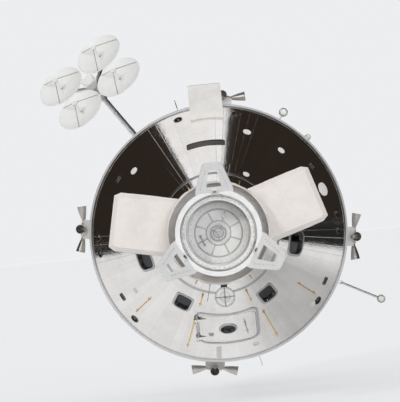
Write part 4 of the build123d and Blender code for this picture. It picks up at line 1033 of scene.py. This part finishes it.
def cone_bands():
    """Bands over the seams of the cone."""
    work = Work()
    for low, high in ((CREW_TOP - 0.025, CREW_TOP + 0.025), (CONE_START + 0.004, CONE_START + 0.040)):
        foot, head = cone_radius(low), cone_radius(high)
        outline = [(foot - 0.002, low), (foot + 0.0035, low), (head + 0.0035, high), (head - 0.002, high)]
        work.lathe(Matrix(), outline, 160)
    work.finish("cone_bands", "craft", "frame alloy")


def cone_caps():
    """Pale caps over vents and sample ports, and a pale strip under the side hatch."""
    work = Work()
    for angle, station, radius in CONE_CAPS:
        spot = cone_seat(angle, station)
        work.cap(spot, radius)
        work.screws(on_plane(spot @ move(0, 0, 0.0095)), ring_points(8, radius * 0.72), 0.0045)
    work.plate(on_cone(264.5, 4.93), 0.075, 0.34, 0.008, 0.012)
    work.finish("cone_caps", "craft", "umbilical paint")


def thruster_ports():
    """Cups with their lips, and the throats of the crew module's thrusters in them."""
    work = Work()
    # Angle from the hatch line, station and radius
    ports = [(offset, PORT_STATION, 0.0555) for offset in PORT_ANGLES]
    ports += [(offset, NOSE_TOP - 0.19, 0.0395) for offset in (173, 187)]
    for offset, station, radius in ports:
        port = cone_seat(HATCH_ANGLE + offset, station)
        cup = [(0.0005, -0.0355), (radius - 0.005, -0.0355), (radius, -0.030), (radius, -0.002)]
        lip = [(radius + 0.012, -0.002), (radius + 0.012, 0.004), (radius - 0.004, 0.004)]
        work.lathe(port, cup + lip + [(radius - 0.008, -0.030), (0.0005, -0.0325)], 40)
        throat = [(0.010, -0.033), (0.018, -0.033), (radius - 0.019, -0.012), (radius - 0.023, -0.012)]
        work.lathe(port, throat, 32)
    work.finish("thruster_ports", "craft", "dark steel")


def cone_vents():
    """Small louvred vents, and the long one on the upper cone."""
    work = Work()
    for angle, station in CONE_VENTS:
        spot = on_cone(angle, station)
        work.plate(spot, 0.13, 0.085, 0.006, 0.03, rim=0.012, cuts=3)
        for row in range(4):
            slat = spot(0, -0.024 + row * 0.016) @ turn("X", 35)
            work.block(slat, (0.098, 0.012, 0.003), 0.0008)
    upper = on_cone(92.5, 5.61)
    work.plate(upper, 0.58, 0.13, 0.004, 0.03, cuts=12)
    work.plate(upper, 0.58, 0.13, 0.010, 0.03, rim=0.014, cuts=12)
    for column in range(-8, 9):
        work.block(upper(column * 0.031, 0) @ turn("Y", 30), (0.016, 0.094, 0.003), 0.0008)
    work.finish("cone_vents", "craft", "dark steel")


def cone_handrails():
    """Gilded handrails up the cone, each on two feet."""
    work = Work()
    for offset, low, high in HANDRAILS:
        foot, head = (cone_seat(HATCH_ANGLE + offset, station) for station in (low, high))
        work.rail(foot, head, 0.06, 0.055, 0.010)
        for end in (foot, head):
            work.stud(end @ move(0, 0, -0.003), 0.026, 0.010, top=0.020, sides=20)
    work.finish("cone_handrails", "craft", "gilded rail")


def umbilical_fittings():
    """Screws and edge strips of the cover over the lines between the two modules."""
    work = Work()
    top = on_plane(move(*UMBILICAL_TOP) @ turn("X", -90))
    work.plate(top, 0.40, 0.30, 0.004, 0.03, rim=0.018)
    work.screws(top, border(*UMBILICAL_SIZE, 0.01, 0.06), 0.006, 0.003)
    work.finish("umbilical_screws", "craft", "screw steel")


# Docking module


def dock_straps():
    """Bands that hold the blankets down, broken at the tank covers, with their buckles."""
    work = Work()
    under, over = DOCK_RADIUS - 0.001, DOCK_RADIUS + 0.003
    strap = [(under, -0.02), (over, -0.018), (over, 0.018), (under, 0.02)]

    def wrap(station, start, sweep, steps, buckles):
        work.lathe(move(0, 0, station) @ turn("Z", start), strap, steps, sweep)
        for angle in buckles:
            work.block(seat(angle, DOCK_RADIUS + 0.002, station), (0.036, 0.052, 0.009), 0.003)

    for station in DOCK_SEAMS[4:7]:
        for start, sweep in ((57, 72), (207, 132)):
            wrap(station, start, sweep, 40, (start + 8, start + sweep - 8))
    for station in (DOCK_SEAMS[1], DOCK_SEAMS[2], DOCK_SEAMS[9]):
        wrap(station, 0, 360, 120, spread(4, 45))
    for angle in spread(60):
        for station in DOCK_ENDS:
            work.screws(on_hull(angle, station, DOCK_RADIUS + 0.007), [(0, 0)], 0.006, 0.003)
    work.finish("dock_straps", "craft", "woven strap")


def dock_rails():
    """Gilded handrails along the docking module, each on two feet and two stands."""
    work = Work()
    stations = (7.96, 8.42, 8.88, 9.34)
    for angle in (62, 118, 240, 300):
        foot, head = (seat(angle, DOCK_RADIUS, station) for station in (stations[0], stations[-1]))
        work.rail(foot, head, 0.08, 0.065, 0.011)
        for station in stations:
            work.stud(seat(angle, DOCK_RADIUS - 0.002, station), 0.030, 0.010, top=0.022, sides=20)
        for station in stations[1:-1]:
            work.stud(seat(angle, DOCK_RADIUS - 0.002, station), 0.009, 0.062, sides=12)
    work.finish("dock_handrails", "craft", "gilded rail")


def sewn_rows(seams):
    """Radius and station of each row of points of a blanket sewn down at its seams, close at a seam."""
    for (low_radius, low), (high_radius, high) in zip(seams, seams[1:]):
        height = high - low
        after = [height - step for step in reversed(SEAM_STEPS)]
        for way in (0, *SEAM_STEPS, height / 2, *after):
            share = way / height
            yield low_radius + share * (high_radius - low_radius), low + way
    yield seams[-1]


def blanket_rise(spot, seams, columns):
    """How far a point of the blanket puffs out between its seams."""
    from_seam = min(abs(spot.z - station) for _, station in seams)
    column = (math.atan2(spot.y, spot.x) / (2 * math.pi) * columns) % 1
    width = 2 * math.pi * math.hypot(spot.x, spot.y) / columns
    from_column = min(column, 1 - column) * width
    crown = min(1.0, max(0.0, from_seam - SEAM_STEPS[0]) / 0.05) ** 0.5
    crown *= min(1.0, from_column / 0.06) ** 0.5
    return crown * (0.013 + 0.011 * noise.noise(spot * 6.0) + 0.004 * noise.noise(spot * 17.0))


def dock_blankets():
    """Insulation of the docking module: squares sewn down along rows and columns."""
    work = Work()
    # Radius and station of each seam
    cone = [(0.441, NOSE_TOP + 0.252), (0.575, NOSE_TOP + 0.425), (0.711, NOSE_TOP + 0.598)]
    hull = [(DOCK_RADIUS + 0.001, station) for station in DOCK_SEAMS]
    for seams, columns in ((cone, 12), (hull, 18)):
        rows = list(sewn_rows(seams))
        back = [(radius - 0.006, station) for radius, station in (rows[-1], rows[0])]
        part = spun(rows + back, columns * 8)
        for vert in part.verts:
            radius = math.hypot(vert.co.x, vert.co.y)
            puffed = (radius + blanket_rise(vert.co, seams, columns)) / radius
            vert.co.x *= puffed
            vert.co.y *= puffed
        work.join(part)
    piece = work.finish("dock_blankets", "craft", "blanket cloth", 60)


def tank_cover_fittings():
    """Frames, doors, grips and screws on the faces and flanks of the tank covers."""
    frames, screws = Work(), Work()
    for angle in COVER_ANGLES:
        face = seat(angle, COVER_FACE, COVER_STATION)
        frames.plate(on_plane(face), 0.56, 1.02, 0.004, 0.05, rim=0.022)
        frames.plate(on_plane(face @ move(0, 0.22, 0)), *COVER_DOOR, 0.003, 0.04)
        frames.block(face @ move(0, -0.30, 0), (0.16, 0.05, 0.018), 0.006)
        screws.screws(on_plane(face), border(*COVER_SIZE, 0.02, 0.075), 0.006, 0.003)
        door = on_plane(face @ move(0, 0.22, 0.003))
        screws.screws(door, border(*COVER_DOOR, 0.02, 0.065), 0.005, 0.003)
        for side in (-1, 1):
            flank = face @ move(side * 0.41, 0, -0.44) @ turn("Y", side * 90)
            frames.plate(on_plane(flank), 0.40, 0.98, 0.004, 0.05, rim=0.020)
            frames.plate(on_plane(flank @ move(0, 0.16, 0)), 0.22, 0.30, 0.003, 0.03)
            screws.screws(on_plane(flank), border(*COVER_FLANK, 0.02, 0.075), 0.006, 0.003)
    frames.finish("tank_cover_frames", "craft", "cover paint")
    screws.finish("tank_cover_screws", "craft", "screw steel")


def collar_fittings():
    """Seal in the collar's groove, and the bolts of its flange and between its hooks."""
    seals, bolts = Work(), Work()
    seals.hoop(move(0, 0, INTERFACE - 0.001), COLLAR_SEAL, 0.0028, 128, 8)
    seals.finish("collar_seals", "craft", "seal rubber")

    for middle in spread(8):
        for offset in (-12, -4, 4, 12):
            spot = around(middle + offset, COLLAR_BOLTS, INTERFACE)
            bolts.stud(Matrix.Translation(spot), 0.008, 0.005, sides=6)
    for angle in spread(32):
        bolts.stud(seat(angle, COLLAR_RADIUS, INTERFACE - 0.023), 0.009, 0.005, sides=6)
    bolts.finish("collar_bolts", "craft", "screw steel")


def target_lines():
    """Pale face of the docking target with its dark cross and rings, and the pale stand-off cross."""
    pale, lines = Work(), Work()
    face = seat(270, TARGET_REACH, TARGET_STATION) @ move(0, 0.03, 0) @ turn("X", -90) @ move(0, 0, 0.010)
    cross = face @ move(0, 0, 0.148)
    pale.stud(face @ move(0, 0, -0.001), 0.134, 0.003, sides=72)
    for angle in spread(4):
        lines.block(face @ turn("Z", angle) @ move(0.082, 0, 0.0015), (0.100, 0.010, 0.0016), 0.0004)
        pale.block(cross @ turn("Z", angle) @ move(0.045, 0, -0.0004), (0.070, 0.006, 0.0012), 0.0003)
    lines.hoop(face @ move(0, 0, 0.002), 0.122, 0.0018, 64, 6)
    lines.hoop(face @ move(0, 0, 0.002), 0.070, 0.0014, 48, 6)
    pale.finish("target_face", "craft", "target white")
    lines.finish("target_lines", "craft", "seal rubber")


def guide_fittings():
    """What slides with the guide ring: petal screws, latch noses and ring bolts."""
    work = Work()
    for angle in PETAL_ANGLES:
        root = seat(angle, PETAL_ROOT, RING_TOP, PETAL_LEAN)
        for side in (-1, 1):
            for row in range(7):
                y = 0.075 + row * 0.052
                x = side * (0.205 - y * 0.27)
                work.stud(root @ move(x, y, 0.013), 0.006, 0.004, sides=8)
                work.stud(root @ move(x, y, -0.013) @ turn("X", 180), 0.006, 0.004, sides=8)
        nose = root @ move(0, 0.030, -0.047) @ turn("X", 180)
        work.block(nose, (0.050, 0.034, 0.010), 0.003)
        work.stud(nose @ move(0, 0, 0.010), 0.010, 0.008, top=0.008)
    for angle in spread(36, 5):
        if (angle + 30) % 120 > 10:
            work.stud(seat(angle, RING_RADIUS, RING_STATION + 0.028), 0.007, 0.004, sides=6)
    work.finish("guide_screws", "guide", "screw steel")


def strut_boots():
    """Folded rubber boots of the six attenuator struts, which slide with the guide ring."""
    work = Work()
    folds = [(0.0195, 0)]
    for fold in range(7):
        folds += [(0.021, fold * 0.015), (0.033, fold * 0.015 + 0.0075)]
    folds += [(0.021, 0.105), (0.0195, 0.105)]
    for petal in PETAL_ANGLES:
        for side in (-1, 1):
            foot = around(petal + side * 17, STRUT_RADIUS, DOCK_TOP - 0.010)
            head = around(petal + side * 3.5, STRUT_RADIUS, RING_STATION - 0.023)
            run = head - foot
            work.lathe(Matrix.Translation(foot + run * 0.56) @ facing(run), folds, 24)
    work.finish("strut_boots", "guide", "seal rubber")


def tunnel_hatch_fittings():
    """What swings with the forward hatch: pressed ribs, handwheel, handle and bolts."""
    work = Work()
    face = move(0, 0, TUNNEL_HATCH_FACE)
    work.hoop(face, 0.330, 0.010, 96, 10)
    work.hoop(face, 0.170, 0.008, 72, 10)
    for angle in spread(8, 22.5):
        work.block(face @ turn("Z", angle) @ move(0.250, 0, -0.004), (0.150, 0.020, 0.014), 0.004)
    work.stud(face, 0.075, 0.020, top=0.062, sides=32)
    work.stud(face @ move(0, 0, 0.020), 0.018, 0.045, sides=20)
    wheel = face @ move(0, 0, 0.065)
    work.hoop(wheel, 0.105, 0.009, 56, 10)
    for angle in spread(3, 30):
        spoke = wheel @ turn("Z", angle)
        work.rod(spoke @ Vector((0.012, 0, 0)), spoke @ Vector((0.104, 0, 0)), 0.006)
    for angle in spread(32):
        work.stud(face @ turn("Z", angle) @ move(0.392, 0, -0.001), 0.007, 0.006, sides=6)
    work.handle(face @ turn("Z", 200) @ move(0.245, 0, 0), 0.14, 0.048, 0.008)
    work.stud(face @ turn("Z", 68) @ move(0.245, 0, 0), 0.032, 0.022, top=0.030, sides=28)
    work.finish("forward_hatch_fittings", "tunnel_hatch", "frame alloy")


# High-gain antenna


def boom_place():
    """Root of the boom: X runs out along it."""
    out = around(BOOM_ANGLE, 1, 0)
    return place(around(BOOM_ANGLE, *BOOM_ROOT), out, Vector((0, 0, 1)))


def boom_cable():
    """Cable along the boom, with its clips."""
    work = Work()
    boom = boom_place()
    route = ((0.075, 0.050), (0.20, 0.055), (0.60, 0.051), (0.98, 0.053), (1.030, 0.050))
    work.tube([boom @ Vector((x, 0, z)) for x, z in route], 0.009, 4)
    for x in (0.16, 0.36, 0.56, 0.76, 0.96):
        work.lathe(boom @ move(x, 0, 0) @ turn("Y", 90), band(0.0415, 0.0455, 0.008), 40)
        work.block(boom @ move(x, 0, 0.044), (0.016, 0.034, 0.018), 0.002)
    work.finish("boom_cable", "boom", "frame alloy")


def dish_fittings():
    """Rims, back ribs, feed stays and cups of the four dishes."""
    rims, stays = Work(), Work()
    cup = [(0.011, 0), (0.030, 0.004), (0.047, 0.016), (0.047, 0.022), (0.011, 0.024)]
    collar = [(0.0105, 0.060), (0.018, 0.062), (0.018, 0.084), (0.0105, 0.086)]
    spine = [(r, DISH_DEPTH * (r / DISH_RADIUS) ** 2 - 0.012) for r in (0.060, 0.17, 0.28, 0.385)]
    middle = boom_place() @ move(BOOM_LENGTH, 0, 0) @ turn("Y", DISH_TURN)
    for x, y in corners(DISH_OFFSET):
        dish = middle @ move(x, y, DISH_RISE)
        rims.hoop(dish @ move(0, 0, 0.116), DISH_RADIUS, 0.0075, 96, 10)
        for angle in spread(8, 22.5):
            rib = dish @ turn("Z", angle)
            rims.tube([rib @ Vector((r, 0, z)) for r, z in spine], 0.006, 1)
        rims.hoop(dish @ move(0, 0, DISH_DEPTH * 0.29 - 0.012), 0.212, 0.005, 72, 6)
        for angle in spread(3, 30):
            stay = dish @ turn("Z", angle)
            stays.rod(stay @ Vector((0.382, 0, 0.112)), stay @ Vector((0.030, 0, 0.288)), 0.005, 8)
        stays.lathe(dish @ move(0, 0, 0.262), cup, 40)
        stays.lathe(dish, collar, 24)
    rims.finish("dish_ribs", "dishes", "dish paint")
    stays.finish("feed_stays", "dishes", "frame alloy")


# Lights, antennas and cabin


def lamp_fittings(name, body, angle, height, front, rim, fins):
    """Lens of a lamp that looks towards the nose. Returns its rim hoop and cooling fins."""
    lens, rings = Work(), Work()
    lamp = seat(angle, HULL_RADIUS, LAMP_STATION) @ move(0, 0, height)

    def ahead(y):
        return lamp @ move(0, y, 0) @ turn("X", -90)

    lens.lathe(ahead(front), LENS, 40)
    lens.finish(name, body, "lamp glass")
    rings.hoop(ahead(front + 0.017), rim, 0.0045, 40)
    for number in range(3):
        rings.lathe(ahead(-0.036 + number * 0.014), band(*fins, 0.002), 40)
    return rings


def light_fittings():
    """Lenses and guard bars of the floodlight, spotlight and beacon."""
    rims = lamp_fittings("floodlight_lens", "pole", *FLOODLIGHT, 0.027, 0.054, (0.056, 0.064))
    rims.finish("floodlight_rim", "pole", "frame alloy")

    rims = lamp_fittings("spotlight_lens", "craft", *SPOTLIGHT, 0.042, 0.058, (0.060, 0.069))
    beacon = seat(BEACON_ANGLE, HULL_RADIUS, LAMP_STATION)
    rims.hoop(beacon @ move(0, 0, 0.051), 0.0505, 0.003, 40)
    rims.lathe(beacon, [(0.048, 0.014), (0.061, 0.014), (0.061, 0.017), (0.048, 0.020)], 40)
    for angle in (45, 135):
        bar = beacon @ turn("Z", angle) @ move(0, 0, 0.050) @ turn("X", 90)
        rims.hoop(bar, 0.0505, 0.0028, 24, 8, 180)
    for angle in spread(6):
        rims.stud(beacon @ turn("Z", angle) @ move(0.055, 0, 0.016), 0.0035, 0.003, sides=6)
    rims.finish("light_rims", "craft", "frame alloy")


def antenna_whips():
    """Two short whips on the docking module and the bolts of the blade antennas' feet."""
    whips, bolts = Work(), Work()
    for angle in (75, 255):
        foot = seat(angle, DOCK_RADIUS - 0.001, 9.20)
        whips.stud(foot, 0.032, 0.014, top=0.026, sides=24)
        whips.stud(foot @ move(0, 0, 0.014), 0.012, 0.030, top=0.006)
        whips.rod(foot @ Vector((0, 0, 0.04)), foot @ Vector((0, 0.05, 0.26)), 0.004, 8)
    whips.finish("dock_whips", "craft", "frame alloy")

    for angle in (102.65, 282.65):
        foot = seat(angle, HULL_RADIUS + 0.010, LAMP_STATION)
        for x in (-0.033, 0.033):
            for y in (-0.14, -0.07, 0, 0.07, 0.14):
                bolts.stud(foot @ move(x, y, 0), 0.006, 0.004, sides=6)
    bolts.finish("antenna_bolts", "craft", "screw steel")


def couch_pads():
    """Padded back, seat and headrest of each couch, with sewn channels."""
    work = Work()
    for middle in (-0.64, 0, 0.64):
        for low, high, width in COUCH_PADS:

            def pad(x, y):
                crown = min(1.0, min(x, 1 - x, y, 1 - y) / 0.12) ** 0.5
                channel = 1 - 0.35 * math.exp(-((math.sin(y * math.pi * 3)) / 0.12) ** 2)
                return ((x - 0.5) * width, low + y * (high - low), 0.035 * crown * channel)

            work.join(puffed_sheet(24, 24, pad, -0.004), move(middle, 0, COUCH_TOP))
    piece = work.finish("couch_pads", "craft", "couch cloth", 60)


for make in (
    bay_edges,
    bay_screws,
    access_doors,
    radiator_tubes,
    thruster_fittings,
    aft_blankets,
    engine_fittings,
    window_frames,
    hatch_fittings,
    cone_bands,
    cone_caps,
    thruster_ports,
    cone_vents,
    cone_handrails,
    umbilical_fittings,
    dock_straps,
    dock_rails,
    dock_blankets,
    tank_cover_fittings,
    collar_fittings,
    target_lines,
    guide_fittings,
    strut_boots,
    tunnel_hatch_fittings,
    boom_cable,
    dish_fittings,
    light_fittings,
    antenna_whips,
    couch_pads,
):
    make()


# Studio: pale floor, a pale world, and a dark ceiling and a bright card that only mirrors see

PALE_BLUE = (0.97, 0.98, 1.0, 1)
FLOOR_REACH = 900
FLOOR_DROP = 0.35
SKY_RADIUS = 700
CARD_RADIUS = 650
WIDEST_RING = -4.5
CAMERA_DISTANCE = 57
PICTURE_WIDTH = 6.1
CAMERA_ROLL = -5.75


def staged(name, bm, material):
    """A piece of the studio."""
    mesh = bpy.data.meshes.new(name)
    bm.to_mesh(mesh)
    bm.free()
    mesh.materials.append(material)
    piece = put(name, mesh)
    return piece


def mirrored_tone(m):
    """How bright polished metal sees the floor: cloudy to one side, and dark where it is far off."""
    across = m.axes(m.where)["X"]
    patch = m.math("SUBTRACT", m.span(across, 0.3, 1.6), m.span(across, 4.5, 7.5))
    cloud = m.plus(0.24, m.noise(m.where, 1.1, 4, 0.6), 0.36)
    clear = m.math("SUBTRACT", 1.0, m.math("MULTIPLY", patch, cloud))
    near = m.math("SUBTRACT", m.span(across, -30.0, -24.0), m.span(across, 10.5, 12.5))
    return m.plus(0.02, m.math("MULTIPLY", clear, near), 0.84)


def floor():
    """Matt and pale, a little brighter to the camera, with its own tone in mirrors, clear from below."""
    m = Finish("pale floor", Base_Color=(0.80, 0.80, 0.80, 1), Roughness=0.9)
    rays = m.add("ShaderNodeLightPath").outputs
    white = m.add("ShaderNodeEmission", {"Color": PALE_BLUE, "Strength": 1.45})
    tone = m.add("ShaderNodeEmission", {"Color": PALE_BLUE, "Strength": mirrored_tone(m)})
    seen = m.math("MAXIMUM", rays["Is Camera Ray"], rays["Is Transmission Ray"])

    def either(factor, first, second):
        return m.add("ShaderNodeMixShader", {0: factor, 1: first, 2: second}).outputs[0]

    plain = either(m.math("MULTIPLY", seen, 0.35), m.shader.outputs[0], white.outputs[0])
    above = either(rays["Is Glossy Ray"], plain, tone.outputs[0])
    below = m.add("ShaderNodeNewGeometry").outputs["Backfacing"]
    clear = m.add("ShaderNodeBsdfTransparent").outputs[0]
    output = m.tree.nodes["Material Output"]
    m.feed(output.inputs["Surface"], either(below, above, clear))
    bm = bmesh.new()
    bmesh.ops.create_grid(bm, x_segments=1, y_segments=1, size=FLOOR_REACH)
    bmesh.ops.translate(bm, verts=bm.verts, vec=(0, 0, cad_low.z - FLOOR_DROP))
    staged("floor", bm, m.material)


def pale_room():
    world = bpy.data.worlds.new("pale room")
    bpy.context.scene.world = world
    world.use_nodes = True
    g = Graph(world.node_tree)
    rays = g.add("ShaderNodeLightPath").outputs
    seen = g.math("MAXIMUM", rays["Is Camera Ray"], rays["Is Transmission Ray"])
    background = world.node_tree.nodes["Background"]
    background.inputs["Color"].default_value = PALE_BLUE
    g.feed(background.inputs["Strength"], g.plus(0.62, seen, 0.25))


def only_mirrored(name, bm, colour, strength):
    """A far glowing sheet that only mirror-bright metal sees."""
    glow = {"Emission_Color": (*colour, 1), "Emission_Strength": strength}
    sheet = staged(name, bm, Finish(name, Base_Color=(0, 0, 0, 1), Roughness=1.0, **glow).material)
    sheet.visible_camera = sheet.visible_diffuse = False
    sheet.visible_shadow = sheet.visible_transmission = False


def mirrored_sky():
    """Dark sky over the craft, and the bright card whose image is the pale wedge on the upper cone."""
    bm = bmesh.new()
    bmesh.ops.create_uvsphere(bm, u_segments=32, v_segments=16, radius=SKY_RADIUS)
    bmesh.ops.bisect_plane(
        bm,
        geom=bm.verts[:] + bm.edges[:] + bm.faces[:],
        plane_co=(0, 0, -0.25),
        plane_no=(0, 0, 1),
        clear_inner=True,
    )
    only_mirrored("dark_ceiling", bm, (0.024, 0.018, 0.013), 1.0)

    bm = bmesh.new()
    bmesh.ops.create_grid(bm, x_segments=24, y_segments=8, size=0.5)
    for vert in bm.verts:
        a = math.radians(96.5 + vert.co.x * 34)
        off = math.radians(66 + vert.co.y * 30)
        away = Vector((math.sin(off) * math.cos(a), math.cos(off), math.sin(off) * math.sin(a)))
        vert.co = away * CARD_RADIUS
    only_mirrored("bright_card", bm, (0.96, 0.96, 0.98), 0.95)


def sun(name, direction, strength, angle, colour):
    lamp = bpy.data.lights.new(name, "SUN")
    lamp.energy = strength
    lamp.angle = math.radians(angle)
    lamp.color = colour
    lamp_object = put(name, lamp)
    lamp_object.rotation_mode = "QUATERNION"
    lamp_object.rotation_quaternion = Vector(direction).to_track_quat("-Z", "Y")


def camera():
    """Nose-on, far before the widest ring, and rolled as in the photo."""
    data = bpy.data.cameras.new("camera")
    data.sensor_width = 36
    data.lens = data.sensor_width * CAMERA_DISTANCE / PICTURE_WIDTH
    data.clip_end = 3000
    spot = Vector((0, WIDEST_RING - CAMERA_DISTANCE, 0))
    aim = Vector((-0.25, 0, 0.55))
    look = (aim - spot).to_track_quat("-Z", "Y").to_matrix().to_4x4()
    shot = put("camera", data)
    shot.matrix_world = Matrix.Translation(spot) @ look @ turn("Z", CAMERA_ROLL)
    bpy.context.scene.camera = shot


floor()
pale_room()
mirrored_sky()
sun("key", (0.40, 0.84, -0.36), 0.62, 6, (1.0, 0.97, 0.93))
sun("fill", (-0.21, 0.97, -0.10), 0.86, 20, (0.95, 0.97, 1.0))
camera()
bpy.context.scene.view_settings.view_transform = "Standard"
